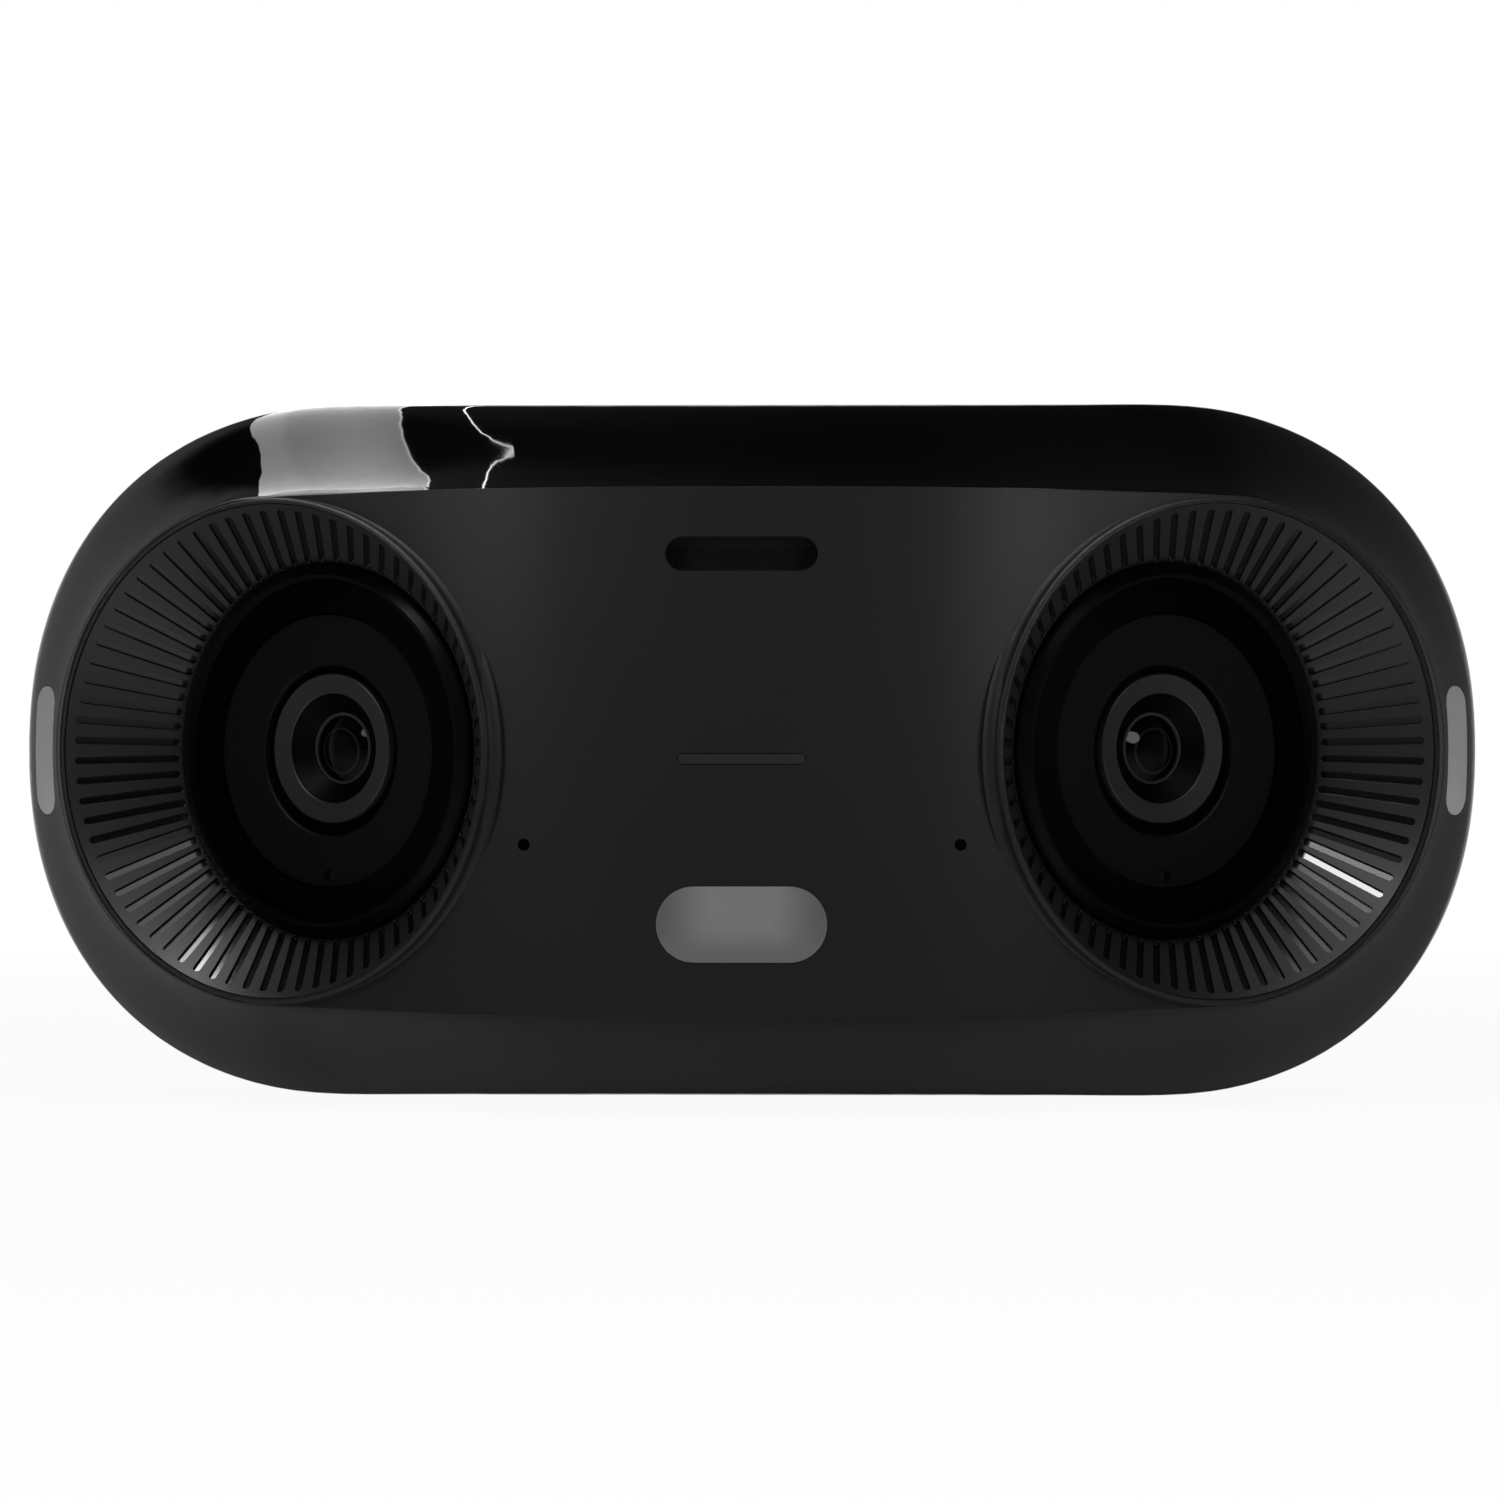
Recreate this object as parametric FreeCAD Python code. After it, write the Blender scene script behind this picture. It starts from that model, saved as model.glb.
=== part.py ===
import FreeCAD
import Part
import math
import os

# Panoramic security camera with two outward-looking lens modules.
# Millimetres. X to the right seen from the front, Y to the rear, Z up.
# The origin is the mouth of the rear mounting thread, on the rear face.
# A depth is a distance in front of the body's widest section.

Vec = FreeCAD.Vector

# Whole body
body_width = 200.0
body_height = 95.4
front_depth = 44.5
rear_depth = 20.0
wall = 2.2
seam_gap = 0.12
overrun = 1.0
outline_end_reach = 45.0
outline_straight = body_width / 2 - outline_end_reach
outline_power = 2.2
side_band = 8.0
flare_overrun = 4.0
rear_straight = 1.5
rear_rounding = 11.0

# Front panel
panel_arch = 0.7
panel_arch_power = 3.0
panel_thickness = 2.4
panel_crown_drop = 3.4795
panel_brim = 0.15

# Raised collar and funnel mouth of each lens module, in a plane yawed outwards
mouth_yaw = 27.0
mouth_radius = 33.2
mouth_fit = 0.12
collar_land = 0.7
collar_round = 0.6
collar_fillet = 1.3
collar_inner_rise = 2.052
collar_outer_rise = 0.3
end_flare = 5.995
collar_radius = mouth_radius + collar_land
collar_reach = collar_radius * math.cos(math.radians(mouth_yaw))
mouth_offset = body_width / 2 - end_flare - collar_reach

# Knee where the crowned middle of the panel meets the facet under a collar
knee_x = mouth_offset - mouth_radius * math.cos(math.radians(mouth_yaw))
knee_depth = front_depth - panel_crown_drop
panel_crown_radius = (knee_x ** 2 + panel_crown_drop ** 2) / (2 * panel_crown_drop)
mouth_depth = knee_depth + collar_inner_rise - mouth_radius * math.sin(math.radians(mouth_yaw))

# Lens module axis, through the centre of the rim plane
eye_inset = 6.6
eye_sink = 7.0
eye_yaw = 34.2
eye_offset = mouth_offset - eye_inset
eye_depth = mouth_depth - eye_sink
funnel_floor_radius = 25.2
funnel_floor_drop = 1.0
funnel_wall = 1.6
funnel_slope = 40.0
neck_wall = 1.8
neck_length = 5.0

# Slots in the funnel wall
slot_count = 72
slot_width = 0.75
slot_depth = 0.7
slot_mouth_land = 1.35
slot_floor_land = 0.8

# Rim ring round each eye
piece_fit = 0.1
rim_inner_radius = 23.3
rim_shoulder_radius = 24.8
rim_shoulder_rise = 0.15
rim_crest_radius = 23.8
rim_crest_rise = 0.9
rim_root_drop = 6.0

# Black dish of each eye, with the posts that carry the sensor board
dish_edge_drop = 0.7
dish_step_drop = 0.2
dish_floor_drop = 2.8
dish_floor_thickness = 1.6
dish_skirt_radius = 17.2
dish_root_drop = 6.5
post_radius = 1.6
post_offset = 10.0

# Satin plate in the dish
plate_radius = 18.7
plate_drop = 1.0
plate_thickness = 1.1
plate_bore_radius = 11.5
plate_dish = 0.5
plate_chamfer = 0.25
light_hole_radius = 0.85
light_hole_offset = 16.9
light_pipe_drop = 1.9

# Lens ring and barrel, on an axis a little above the eye's
lens_raise = 0.35
lens_ring_radius = 10.1
lens_ring_bore = 7.4
lens_ring_drop = 1.7
lens_ring_dish = 0.4
lens_ring_chamfer = 0.15
lens_ring_root_drop = 6.2
barrel_drop = 2.2
barrel_head_drop = 8.8
barrel_rear_drop = 18.2
barrel_thread_radius = 6.0
barrel_light_radius = 3.6

# Front lens element and its retaining ring
lens_radius = 4.35
lens_flange_radius = 4.85
lens_bore_radius = 4.95
lens_seat_drop = 4.2
lens_edge_drop = 4.45
lens_flange_drop = 4.85
lens_rear_drop = 7.9
lens_crown = 1.0
lens_bore_drop = 8.2
retainer_bore = 4.45
retainer_front_drop = 4.25
retainer_rear_drop = 4.75

# Lens holder, image sensor and infrared filter changer
holder_radius = 8.0
holder_front_drop = 9.5
holder_base_drop = 18.4
holder_base_width = 24.0
holder_base_height = 11.0
filter_track_front_drop = 19.1
filter_track_rear_drop = 20.6
filter_track_width = 21.9
filter_track_height = 8.4
filter_window = 5.6
filter_frame_width = 1.1
filter_thickness = 0.9
filter_gap = 0.3
filter_pane_fit = 0.05
image_sensor_size = 8.0
image_sensor_height = 1.0
image_sensor_pocket = 9.0
sensor_board_drop = 22.0
sensor_board_thickness = 1.2
sensor_board_width = 25.0
sensor_board_height = 38.0

# Small screws into the dish posts
small_screw_radius = 0.75
small_screw_length = 5.0
small_screw_head_radius = 1.5
small_screw_head_height = 1.0
small_screw_fit = 0.05
board_screw_head_radius = 2.1

# Features of the front panel
sound_slot_width = 20.0
sound_slot_height = 4.5
sound_slot_margin = 7.9
sound_slot_z = collar_radius - sound_slot_margin
status_width = 16.7
status_height = 1.3
status_z = -0.9
microphone_hole_radius = 0.8
microphone_inset = 5.52
microphone_offset = knee_x - microphone_inset
microphone_z = -12.2
sensor_window_width = 22.5
sensor_window_height = 10.0
sensor_window_margin = 11.3
sensor_window_z = -collar_radius + sensor_window_margin
window_fit = 0.1
window_recess = 0.05
window_flange = 1.0
window_flange_thickness = 0.7

# End windows in the flared shell
end_window_height = 17.7
end_window_width = 5.2
end_window_share = 0.509
end_window_ahead = 3.0
end_window_thickness = 1.7
end_sensor_radius = 4.0
end_sensor_drop = 3.2
end_sensor_length = 4.0

# Electronics behind the panel
module_gap = 0.5
pillar_offset_x = 27.5
board_pillar_margin = 2.5
board_microphone_margin = 1.3
board_half_width = max(pillar_offset_x + board_pillar_margin, microphone_offset + board_microphone_margin)
board_margin = 2.4
board_half_height = collar_radius - board_margin
board_thickness = 1.6
board_setback = 10.9
board_front_depth = front_depth - board_setback
board_rear_depth = board_front_depth - board_thickness
spreader_margin_x = 3.5
spreader_margin_z = 5.0
spreader_half_width = pillar_offset_x - spreader_margin_x
spreader_half_height = board_half_height - spreader_margin_z
spreader_thickness = 2.6
spreader_depth = board_rear_depth - spreader_thickness
spreader_fins = 9
spreader_fin_width = 1.2
spreader_fin_share = 0.592
speaker_width = 24.0
speaker_height = 12.0
speaker_gap = 0.3
speaker_setback = 5.1
speaker_rim = 1.2
speaker_recess = 1.0
speaker_rear_depth = board_front_depth + speaker_gap
speaker_front_depth = front_depth - speaker_setback
sensor_can_radius = 4.5
sensor_can_base = 0.7
sensor_can_base_height = 0.8
sensor_can_setback = 5.5
sensor_can_depth = front_depth - sensor_can_setback
microphone_boot_radius = 1.3
microphone_boot_gap = 0.75
mesh_thickness = 0.4
mesh_margin = 1.3

# Components on the main board: X, width, Z, height and thickness
board_chips = (
    (-18.0, 14.0, 2.0, 14.0, 1.4),
    (2.0, 12.0, 3.0, 10.0, 1.1),
    (6.0, 18.0, -16.0, 12.0, 2.0),
    (-25.0, 6.0, -4.0, 18.0, 2.5),
    (-16.0, 7.0, -15.0, 7.0, 1.2))
status_lamp_pitch = 6.0
status_lamp_width = 2.0
status_lamp_height = 1.2
status_lamp_thickness = 0.8

# Battery
cell_radius = 9.2
cell_length = 65.0
cell_half_gap = 1.1
cell_tip_length = 1.0
cell_tip_share = 0.35
cell_clearance = 0.15
holder_rear_depth = 1.0
holder_floor = 1.8
holder_side = 2.0
holder_end = 2.35
holder_drop = 2.0
cell_offset = cell_radius + cell_half_gap
cell_depth = holder_rear_depth + holder_floor + cell_radius
holder_half_width = cell_offset + cell_radius + holder_side
holder_half_height = cell_length / 2 + cell_clearance + holder_end
holder_front_depth = cell_depth - holder_drop
lug_radius = 4.4
lug_thickness = 3.0

# Inner frame, its pillars and the case screws
pillar_inset_z = 3.5
pillar_offset_z = board_half_height - pillar_inset_z
pillar_radius = 2.6
standoff_radius = 2.2
frame_margin_x = 1.0
frame_margin_z = 1.5
frame_opening = 20.0
frame_cell_gap = 0.8
frame_thickness = 2.5
frame_half_width = board_half_width + frame_margin_x
frame_half_height = board_half_height + frame_margin_z
frame_rear_depth = cell_depth + cell_radius + frame_cell_gap
frame_front_depth = frame_rear_depth + frame_thickness
cover_post_radius = 3.0
corner_screw_spread = 12.2
corner_screw_margin = 25.7
corner_screw_x = mouth_offset + corner_screw_spread
corner_screw_z = body_height / 2 - corner_screw_margin
corner_post_radius = 3.4
corner_post_depth = 6.0
corner_rib_width = 2.4
corner_rib_gap = 0.4
screw_radius = 1.45
screw_head_radius = 2.7
screw_head_height = 1.6
screw_head_recess = 0.2
screw_length = 14.2
screw_socket_radius = 1.35
screw_socket_depth = 1.0
screw_clearance = 1.7
screw_pilot = 1.5
counterbore_radius = 2.95
post_gap = 0.05

# Rear mounting thread
insert_radius = 6.0
insert_length = 9.0
insert_fit = 0.05
insert_boss_radius = 8.0
insert_boss_floor = 1.2
thread_radius = 3.175

# Service bay in the rear cover, behind a hinged door
bay_window_half_width = 22.9
bay_window_height = 16.6
bay_window_margin = 13.4
bay_window_bottom = -body_height / 2 + bay_window_margin
bay_window_top = bay_window_bottom + bay_window_height
bay_corner_radius = 1.5
bay_inset_x = 1.9
bay_inset_bottom = 2.3
bay_inset_top = 0.3
bay_half_width = bay_window_half_width - bay_inset_x
bay_bottom = bay_window_bottom + bay_inset_bottom
bay_top = bay_window_top - bay_inset_top
bay_wall = 1.2
bay_floor_y = -10.0
bay_flange_side = 1.3
bay_flange_half_width = bay_window_half_width + bay_flange_side
bay_flange_margin = 1.8
bay_flange_gap = 0.05
door_gap = 0.4
door_half_width = bay_window_half_width - door_gap
door_top = bay_window_top - door_gap
door_thickness = 2.0
door_hinge_y = -door_thickness / 2
door_hinge_rise = 1.3
door_hinge_z = bay_window_bottom + door_hinge_rise
door_pin_radius = 0.5
door_pin_play = 0.05
door_pin_seat = 1.0
door_pin_half_length = bay_window_half_width + door_pin_seat
seal_gap = 0.4
seal_top_gap = 0.6
seal_half_width = bay_half_width - seal_gap
seal_bottom = bay_bottom + seal_gap
seal_top = bay_top - seal_top_gap
seal_thickness = 1.2
seal_depth = 1.4
finger_notch_half_width = 6.0
finger_notch_height = 1.5
finger_notch_depth = 1.5

# Sockets and button on the port board
port_z = (bay_bottom + bay_top) / 2
port_board_setback = 3.6
port_board_y = bay_floor_y - port_board_setback
port_board_side = 3.0
port_board_half_width = bay_half_width - port_board_side
port_board_half_height = 6.0
port_board_thickness = 1.2
port_rise = 1.1
port_front_y = bay_floor_y + port_rise
port_fit = 0.2
usb_x = -10.0
usb_width = 9.0
usb_height = 3.3
usb_wall = 0.3
usb_depth = 4.0
usb_tongue_width = 6.7
usb_tongue_height = 0.7
usb_tongue_root = 0.2
usb_tongue_setback = 0.6
card_x = 5.0
card_width = 12.5
card_height = 1.9
card_slot_width = 11.2
card_slot_height = 0.9
card_slot_depth = 3.5
button_x = 16.0
button_radius = 1.9
button_rise = 1.7
button_reach = 2.0
button_front_y = bay_floor_y + button_rise
button_rear_y = bay_floor_y - button_reach
button_flange_radius = 2.8
button_flange_gap = 0.4
button_flange_y = bay_floor_y - button_flange_gap
button_flange_thickness = 0.6
button_hole_fit = 0.35
switch_size = 4.0
switch_height = 0.9

# Gasket of the rear seam
gasket_inset = 2.35
gasket_width = 1.05
gasket_front_depth = -6.0
gasket_rear_depth = -9.4

# Antenna boards under the top of the shell
antenna_length = 22.0
antenna_inset = 5.0
antenna_thickness = 0.8
antenna_drop = 4.5
antenna_x = outline_straight - antenna_inset - antenna_length
antenna_z = body_height / 2 - antenna_drop
antenna_rear_depth = -2.0
antenna_front_depth = 6.0


def depth_to_y(depth):
    """Y of a plane that lies the given depth in front of the widest section."""
    return -rear_depth - depth


def y_to_depth(y):
    return -rear_depth - y


def at(x, depth, z):
    """Point given by its depth in place of Y."""
    return Vec(x, depth_to_y(depth), z)


def cosine(degrees):
    return math.cos(math.radians(degrees))


def sine(degrees):
    return math.sin(math.radians(degrees))


def panel_end_x():
    return mouth_offset + mouth_radius * cosine(mouth_yaw)


def panel_end_depth():
    return mouth_depth - mouth_radius * sine(mouth_yaw) - collar_outer_rise


def panel_depth(x):
    """Depth of the panel's outer face at x: a gentle crown, then a facet under each collar."""
    x = abs(x)
    if x <= knee_x:
        return front_depth - panel_crown_radius + math.sqrt(panel_crown_radius ** 2 - x ** 2)
    slope = (panel_end_depth() - knee_depth) / (panel_end_x() - knee_x)
    return knee_depth + slope * (x - knee_x)


def quadrant(inset):
    """Pairs of panel edge and widest outline positions (x, z), from the top centre to the +X end."""
    pairs = []
    edge_height = collar_radius + panel_brim - inset
    edge_reach = collar_reach + panel_brim - inset
    outline_height = body_height / 2 - inset
    outline_reach = outline_end_reach - inset
    straight_steps = 6
    for i in range(straight_steps):
        share = i / straight_steps
        arch = panel_arch * (1.0 - share ** panel_arch_power)
        edge = (mouth_offset * share, edge_height + arch)
        pairs.append((edge, (outline_straight * share, outline_height)))
    end_steps = 9
    for i in range(end_steps + 1):
        across = cosine(90.0 * (1.0 - i / end_steps))
        up = max(sine(90.0 * (1.0 - i / end_steps)), 0.0)
        edge = (mouth_offset + edge_reach * across, edge_height * up)
        power = 2.0 / outline_power
        outline = (outline_straight + outline_reach * max(across, 0.0) ** power, outline_height * up ** power)
        pairs.append((edge, outline))
    return pairs


def closed_points(quarter, y):
    """Points of a closed section from those of its first quarter."""
    points = [Vec(x, y, z) for x, z in quarter]
    points += [Vec(x, y, -z) for x, z in reversed(quarter[:-1])]
    points += [Vec(-x, y, -z) for x, z in quarter[1:]]
    points += [Vec(-x, y, z) for x, z in reversed(quarter[1:-1])]
    return points


def closed_curve(quarter, y):
    """Closed spline whose spacing follows the widest outline, so that all sections stay in step."""
    outline = closed_points([outer for edge, outer in quadrant(0.0)], 0.0)
    spacing = [0.0]
    for i in range(len(outline)):
        spacing.append(spacing[-1] + outline[i].distanceToPoint(outline[(i + 1) % len(outline)]))
    curve = Part.BSplineCurve()
    curve.interpolate(Points=closed_points(quarter, y), PeriodicFlag=True, Parameters=spacing)
    return curve


def ogee(share):
    """Smooth way from 0 to 1."""
    return share * share * (3.0 - 2.0 * share)


def flared_section(depth, inset):
    """Section of the flaring shell: an ogee from the panel's edge out to the widest outline."""
    quarter = []
    for (edge_x, edge_z), (outer_x, outer_z) in quadrant(inset):
        start = panel_depth(edge_x)
        way = ogee(min(max((start - depth) / start, 0.0), 1.0))
        quarter.append((edge_x + (outer_x - edge_x) * way, edge_z + (outer_z - edge_z) * way))
    return closed_curve(quarter, depth_to_y(depth))


def outline_section(depth, inset):
    """Section that keeps the widest outline, drawn in by an inset."""
    return closed_curve([outer for edge, outer in quadrant(inset)], depth_to_y(depth))


def skinned_solid(curves, stations):
    """Solid through closed curves that share their spacing, closed by flat faces at both ends."""
    columns = []
    for poles in zip(*[curve.getPoles() for curve in curves]):
        column = Part.BSplineCurve()
        column.interpolate(Points=list(poles), Parameters=stations)
        columns.append(column)
    surface = Part.BSplineSurface()
    surface.buildFromPolesMultsKnots(
        [column.getPoles() for column in columns],
        curves[0].getMultiplicities(), columns[0].getMultiplicities(),
        curves[0].getKnots(), columns[0].getKnots(),
        True, False, curves[0].Degree, columns[0].Degree)
    tube = surface.toShape()
    ends = [edge for edge in tube.Edges if edge.isClosed() and not edge.isSeam(tube)]
    shell = Part.makeShell([tube] + [Part.Face(Part.Wire([edge])) for edge in ends])
    shell.sewShape()
    solid = Part.Solid(shell)
    if solid.Volume < 0:
        solid.reverse()
    return solid


def flared_body(inset, rear):
    """Flaring body from in front of the panel back to the given depth."""
    front = front_depth + flare_overrun
    steps = 12
    depths = [front + (rear - front) * i / steps for i in range(steps + 1)]
    sections = [flared_section(depth, inset) for depth in depths]
    return skinned_solid(sections, [front - depth for depth in depths])


def rear_body(inset, front, rear):
    """Rear cap that rounds in from the widest outline to the flat rear face."""
    steps = 8
    angles = [90.0 * i / steps for i in range(steps + 1)]
    start = -side_band - rear_straight
    curves = [outline_section(front, inset)]
    for angle in angles:
        depth = start + (rear - start) * sine(angle)
        curves.append(outline_section(depth, inset + rear_rounding * (1.0 - cosine(angle))))
    return skinned_solid(curves, [-15.0] + angles)


def outline_prism(inset, front, rear):
    """Straight prism on the widest outline between two depths."""
    face = Part.Face(Part.Wire([outline_section(front, inset).toShape()]))
    return face.extrude(Vec(0, front - rear, 0))


def panel_slab(front_shift, rear_shift):
    """Plate that follows the panel's plan curve, between two shifts behind its outer face."""
    reach = body_width
    tip_depth = panel_depth(reach)

    def outline(shift):
        depth = knee_depth - shift
        left = Part.LineSegment(at(-reach, tip_depth - shift, 0), at(-knee_x, depth, 0))
        crown = Part.Arc(at(-knee_x, depth, 0), at(0, front_depth - shift, 0), at(knee_x, depth, 0))
        right = Part.LineSegment(at(knee_x, depth, 0), at(reach, tip_depth - shift, 0))
        return [left.toShape(), crown.toShape(), right.toShape()]

    sides = [
        Part.LineSegment(at(x, tip_depth - front_shift, 0), at(x, tip_depth - rear_shift, 0)).toShape()
        for x in (-reach, reach)]
    face = Part.Face(Part.Wire(Part.__sortEdges__(outline(front_shift) + outline(rear_shift) + sides)))
    plate = face.extrude(Vec(0, 0, 2 * body_height))
    plate.translate(Vec(0, 0, -body_height))
    return plate


def yawed_frame(offset, depth, yaw):
    """Placement whose Z points out of the right module, X outwards to the side and Y up."""
    outward = Vec(sine(yaw), -cosine(yaw), 0)
    sideways = Vec(cosine(yaw), sine(yaw), 0)
    rotation = FreeCAD.Rotation(sideways, Vec(0, 0, 1), outward, "ZXY")
    return FreeCAD.Placement(at(offset, depth, 0), rotation)


def mouth_frame():
    return yawed_frame(mouth_offset, mouth_depth, mouth_yaw)


def eye_frame():
    return yawed_frame(eye_offset, eye_depth, eye_yaw)


def placed(shape, frame):
    moved = shape.copy()
    moved.Placement = frame.multiply(moved.Placement)
    return moved


def mirrored(shape):
    """The same piece on the left module."""
    return shape.mirror(Vec(0, 0, 0), Vec(1, 0, 0))


def turned(profile):
    """Solid of revolution about Z from a closed outline of (radius, height) corners."""
    corners = [Vec(radius, 0, height) for radius, height in profile]
    wire = Part.makePolygon(corners + [corners[0]])
    return Part.Face(wire).revolve(Vec(0, 0, 0), Vec(0, 0, 1), 360)


def turned_edges(edges):
    """Solid of revolution about Z from edges drawn in the XZ plane."""
    wire = Part.Wire(Part.__sortEdges__(edges))
    return Part.Face(wire).revolve(Vec(0, 0, 0), Vec(0, 0, 1), 360)


def box(x_range, depth_range, z_range):
    """Block between two X, two depths and two Z."""
    near = max(depth_range)
    return Part.makeBox(
        x_range[1] - x_range[0], near - min(depth_range), z_range[1] - z_range[0],
        at(x_range[0], near, z_range[0]))


def y_box(x_range, y_range, z_range):
    """Block between two X, two Y and two Z."""
    return Part.makeBox(
        x_range[1] - x_range[0], y_range[1] - y_range[0], z_range[1] - z_range[0],
        Vec(x_range[0], y_range[0], z_range[0]))


def rod(x, z, radius, depth_range):
    """Round rod along Y between two depths."""
    near = max(depth_range)
    return Part.makeCylinder(radius, near - min(depth_range), at(x, near, z), Vec(0, 1, 0))


def y_rod(x, z, radius, y_range):
    """Round rod along Y between two Y."""
    return Part.makeCylinder(radius, y_range[1] - y_range[0], Vec(x, y_range[0], z), Vec(0, 1, 0))


def pill(width, height, length, base, across, up, along):
    """Stadium prism: its ends are round across the shorter side."""
    radius = min(width, height) / 2
    half = Vec(across).multiply(width / 2 - radius) + Vec(up).multiply(height / 2 - radius)
    side = Vec(up) if width >= height else Vec(across)
    tip = Vec(across) if width >= height else Vec(up)
    edges = []
    for sign in (1, -1):
        centre = base + Vec(half).multiply(sign)
        start = centre + Vec(side).multiply(radius * sign)
        end = centre - Vec(side).multiply(radius * sign)
        middle = centre + Vec(tip).multiply(radius * sign)
        edges.append(Part.Arc(start, middle, end).toShape())
        opposite = base - Vec(half).multiply(sign) - Vec(side).multiply(radius * sign)
        edges.append(Part.LineSegment(end, opposite).toShape())
    return Part.Face(Part.Wire(Part.__sortEdges__(edges))).extrude(Vec(along).multiply(length))


def front_pill(x, z, width, height, depth_range):
    """Stadium prism that looks straight to the front."""
    near = max(depth_range)
    base = at(x, near, z)
    return pill(width, height, near - min(depth_range), base, Vec(1, 0, 0), Vec(0, 0, 1), Vec(0, 1, 0))


# Outer casing


def collar():
    """Raised lip round the right funnel mouth, rounded on top and filleted into the panel."""
    inner = mouth_radius
    outer = collar_radius
    foot = -collar_round - collar_fillet
    bottom = foot - panel_thickness * 2
    bend = math.sqrt(0.5)
    crest = Part.Arc(
        Vec(outer - collar_round, 0, 0),
        Vec(outer - collar_round * (1 - bend), 0, -collar_round * (1 - bend)),
        Vec(outer, 0, -collar_round))
    fillet = Part.Arc(
        Vec(outer, 0, -collar_round),
        Vec(outer + collar_fillet * (1 - bend), 0, -collar_round - collar_fillet * bend),
        Vec(outer + collar_fillet, 0, foot))
    corners = [
        Vec(outer + collar_fillet, 0, foot), Vec(outer + collar_fillet, 0, bottom),
        Vec(inner, 0, bottom), Vec(inner, 0, 0), Vec(outer - collar_round, 0, 0)]
    edges = [crest.toShape(), fillet.toShape()]
    edges += [Part.LineSegment(a, b).toShape() for a, b in zip(corners, corners[1:])]
    return placed(turned_edges(edges), mouth_frame())


def mouth_hole():
    hole = Part.makeCylinder(mouth_radius, 2 * funnel_floor_radius, Vec(0, 0, -funnel_floor_radius))
    return placed(hole, mouth_frame())


def end_start():
    """Depth at which the flare starts at the right end of the panel."""
    return panel_depth(mouth_offset + collar_reach)


def end_middle():
    """Middle of the right end window, on the flare."""
    x = mouth_offset + collar_reach + end_flare * ogee(end_window_share)
    return at(x, end_start() * (1.0 - end_window_share), 0)


def end_outward():
    """Direction in which the right end window looks: square to the flare."""
    spread = 6.0 * end_window_share * (1.0 - end_window_share) * end_flare
    return Vec(end_start(), -spread, 0).normalize()


def end_across():
    return Vec(0, 0, 1).cross(end_outward())


def end_window_prism(growth):
    """Prism that cuts the right end window."""
    base = end_middle() + end_outward().multiply(end_window_ahead)
    return pill(
        end_window_width + 2 * growth, end_window_height + 2 * growth, 3 * end_window_ahead,
        base, end_across(), Vec(0, 0, 1), end_outward().multiply(-1))


def through_panel():
    """Depth range that passes right through the crowned middle of the panel."""
    return (front_depth + panel_thickness, front_depth - 2.5 * panel_thickness)


def front_panel(body):
    """Matte front moulding with its two raised collars and its windows cut out."""
    slab = panel_slab(0.0, panel_thickness)
    space = panel_slab(-mouth_radius, panel_thickness)
    right = collar().common(space)
    panel = slab.fuse([right, mirrored(right)]).common(body)
    cutters = [mouth_hole(), mirrored(mouth_hole())]
    cutters.append(front_pill(0, sound_slot_z, sound_slot_width, sound_slot_height, through_panel()))
    cutters.append(front_pill(
        0, status_z, status_width + 2 * window_fit, status_height + 2 * window_fit, through_panel()))
    cutters.append(front_pill(
        0, sensor_window_z, sensor_window_width + 2 * window_fit,
        sensor_window_height + 2 * window_fit, through_panel()))
    for side in (-1, 1):
        cutters.append(rod(side * microphone_offset, microphone_z, microphone_hole_radius, through_panel()))
    return panel.cut(cutters).removeSplitter()


def window(z, width, height):
    """Window set into the panel from behind, with a flange round its rear."""
    plug = front_pill(0, z, width, height, through_panel())
    plug = plug.common(panel_slab(window_recess, panel_thickness + window_fit))
    margin = 2 * window_flange
    flange = front_pill(0, z, width + margin, height + margin, through_panel())
    rear = panel_thickness + window_fit + window_flange_thickness
    flange = flange.common(panel_slab(panel_thickness + window_fit, rear))
    return plug.fuse(flange).removeSplitter()


def sound_mesh():
    """Fine mesh plate behind the sound slot."""
    margin = 2 * mesh_margin
    sheet = front_pill(0, sound_slot_z, sound_slot_width + margin, sound_slot_height + margin, through_panel())
    front = panel_thickness + window_fit
    return sheet.common(panel_slab(front, front + mesh_thickness))


def corner_posts():
    """Screw posts that stand on ribs inside the shell, near its four corners."""
    posts = []
    for side in (-1, 1):
        for up in (-1, 1):
            x = side * corner_screw_x
            z = up * corner_screw_z
            depths = (-side_band, corner_post_depth)
            reach = sorted((z, up * body_height / 2))
            rib_depths = (gasket_front_depth + corner_rib_gap, corner_post_depth)
            rib = box((x - corner_rib_width / 2, x + corner_rib_width / 2), rib_depths, reach)
            posts.append(rod(x, z, corner_post_radius, depths).fuse(rib))
    return posts


def main_shell(body, cavity):
    """Glossy flared shell, open at the front and at the rear, with its screw posts."""
    behind = panel_slab(panel_thickness + seam_gap, body_width)
    shell = body.common(behind).cut(cavity)
    posts = [post.common(body) for post in corner_posts()]
    shell = shell.fuse(posts)
    cutters = [funnel_envelope(mouth_fit), end_window_prism(window_fit)]
    cutters += [mirrored(cutter) for cutter in cutters]
    for side in (-1, 1):
        for up in (-1, 1):
            cutters.append(rod(
                side * corner_screw_x, up * corner_screw_z, screw_pilot, (-side_band - overrun, 0.0)))
    return shell.cut(cutters).removeSplitter()


def end_window(body, lining):
    """Window plug that keeps the curve of the flare."""
    return end_window_prism(0.0).common(body).cut(lining)


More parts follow.
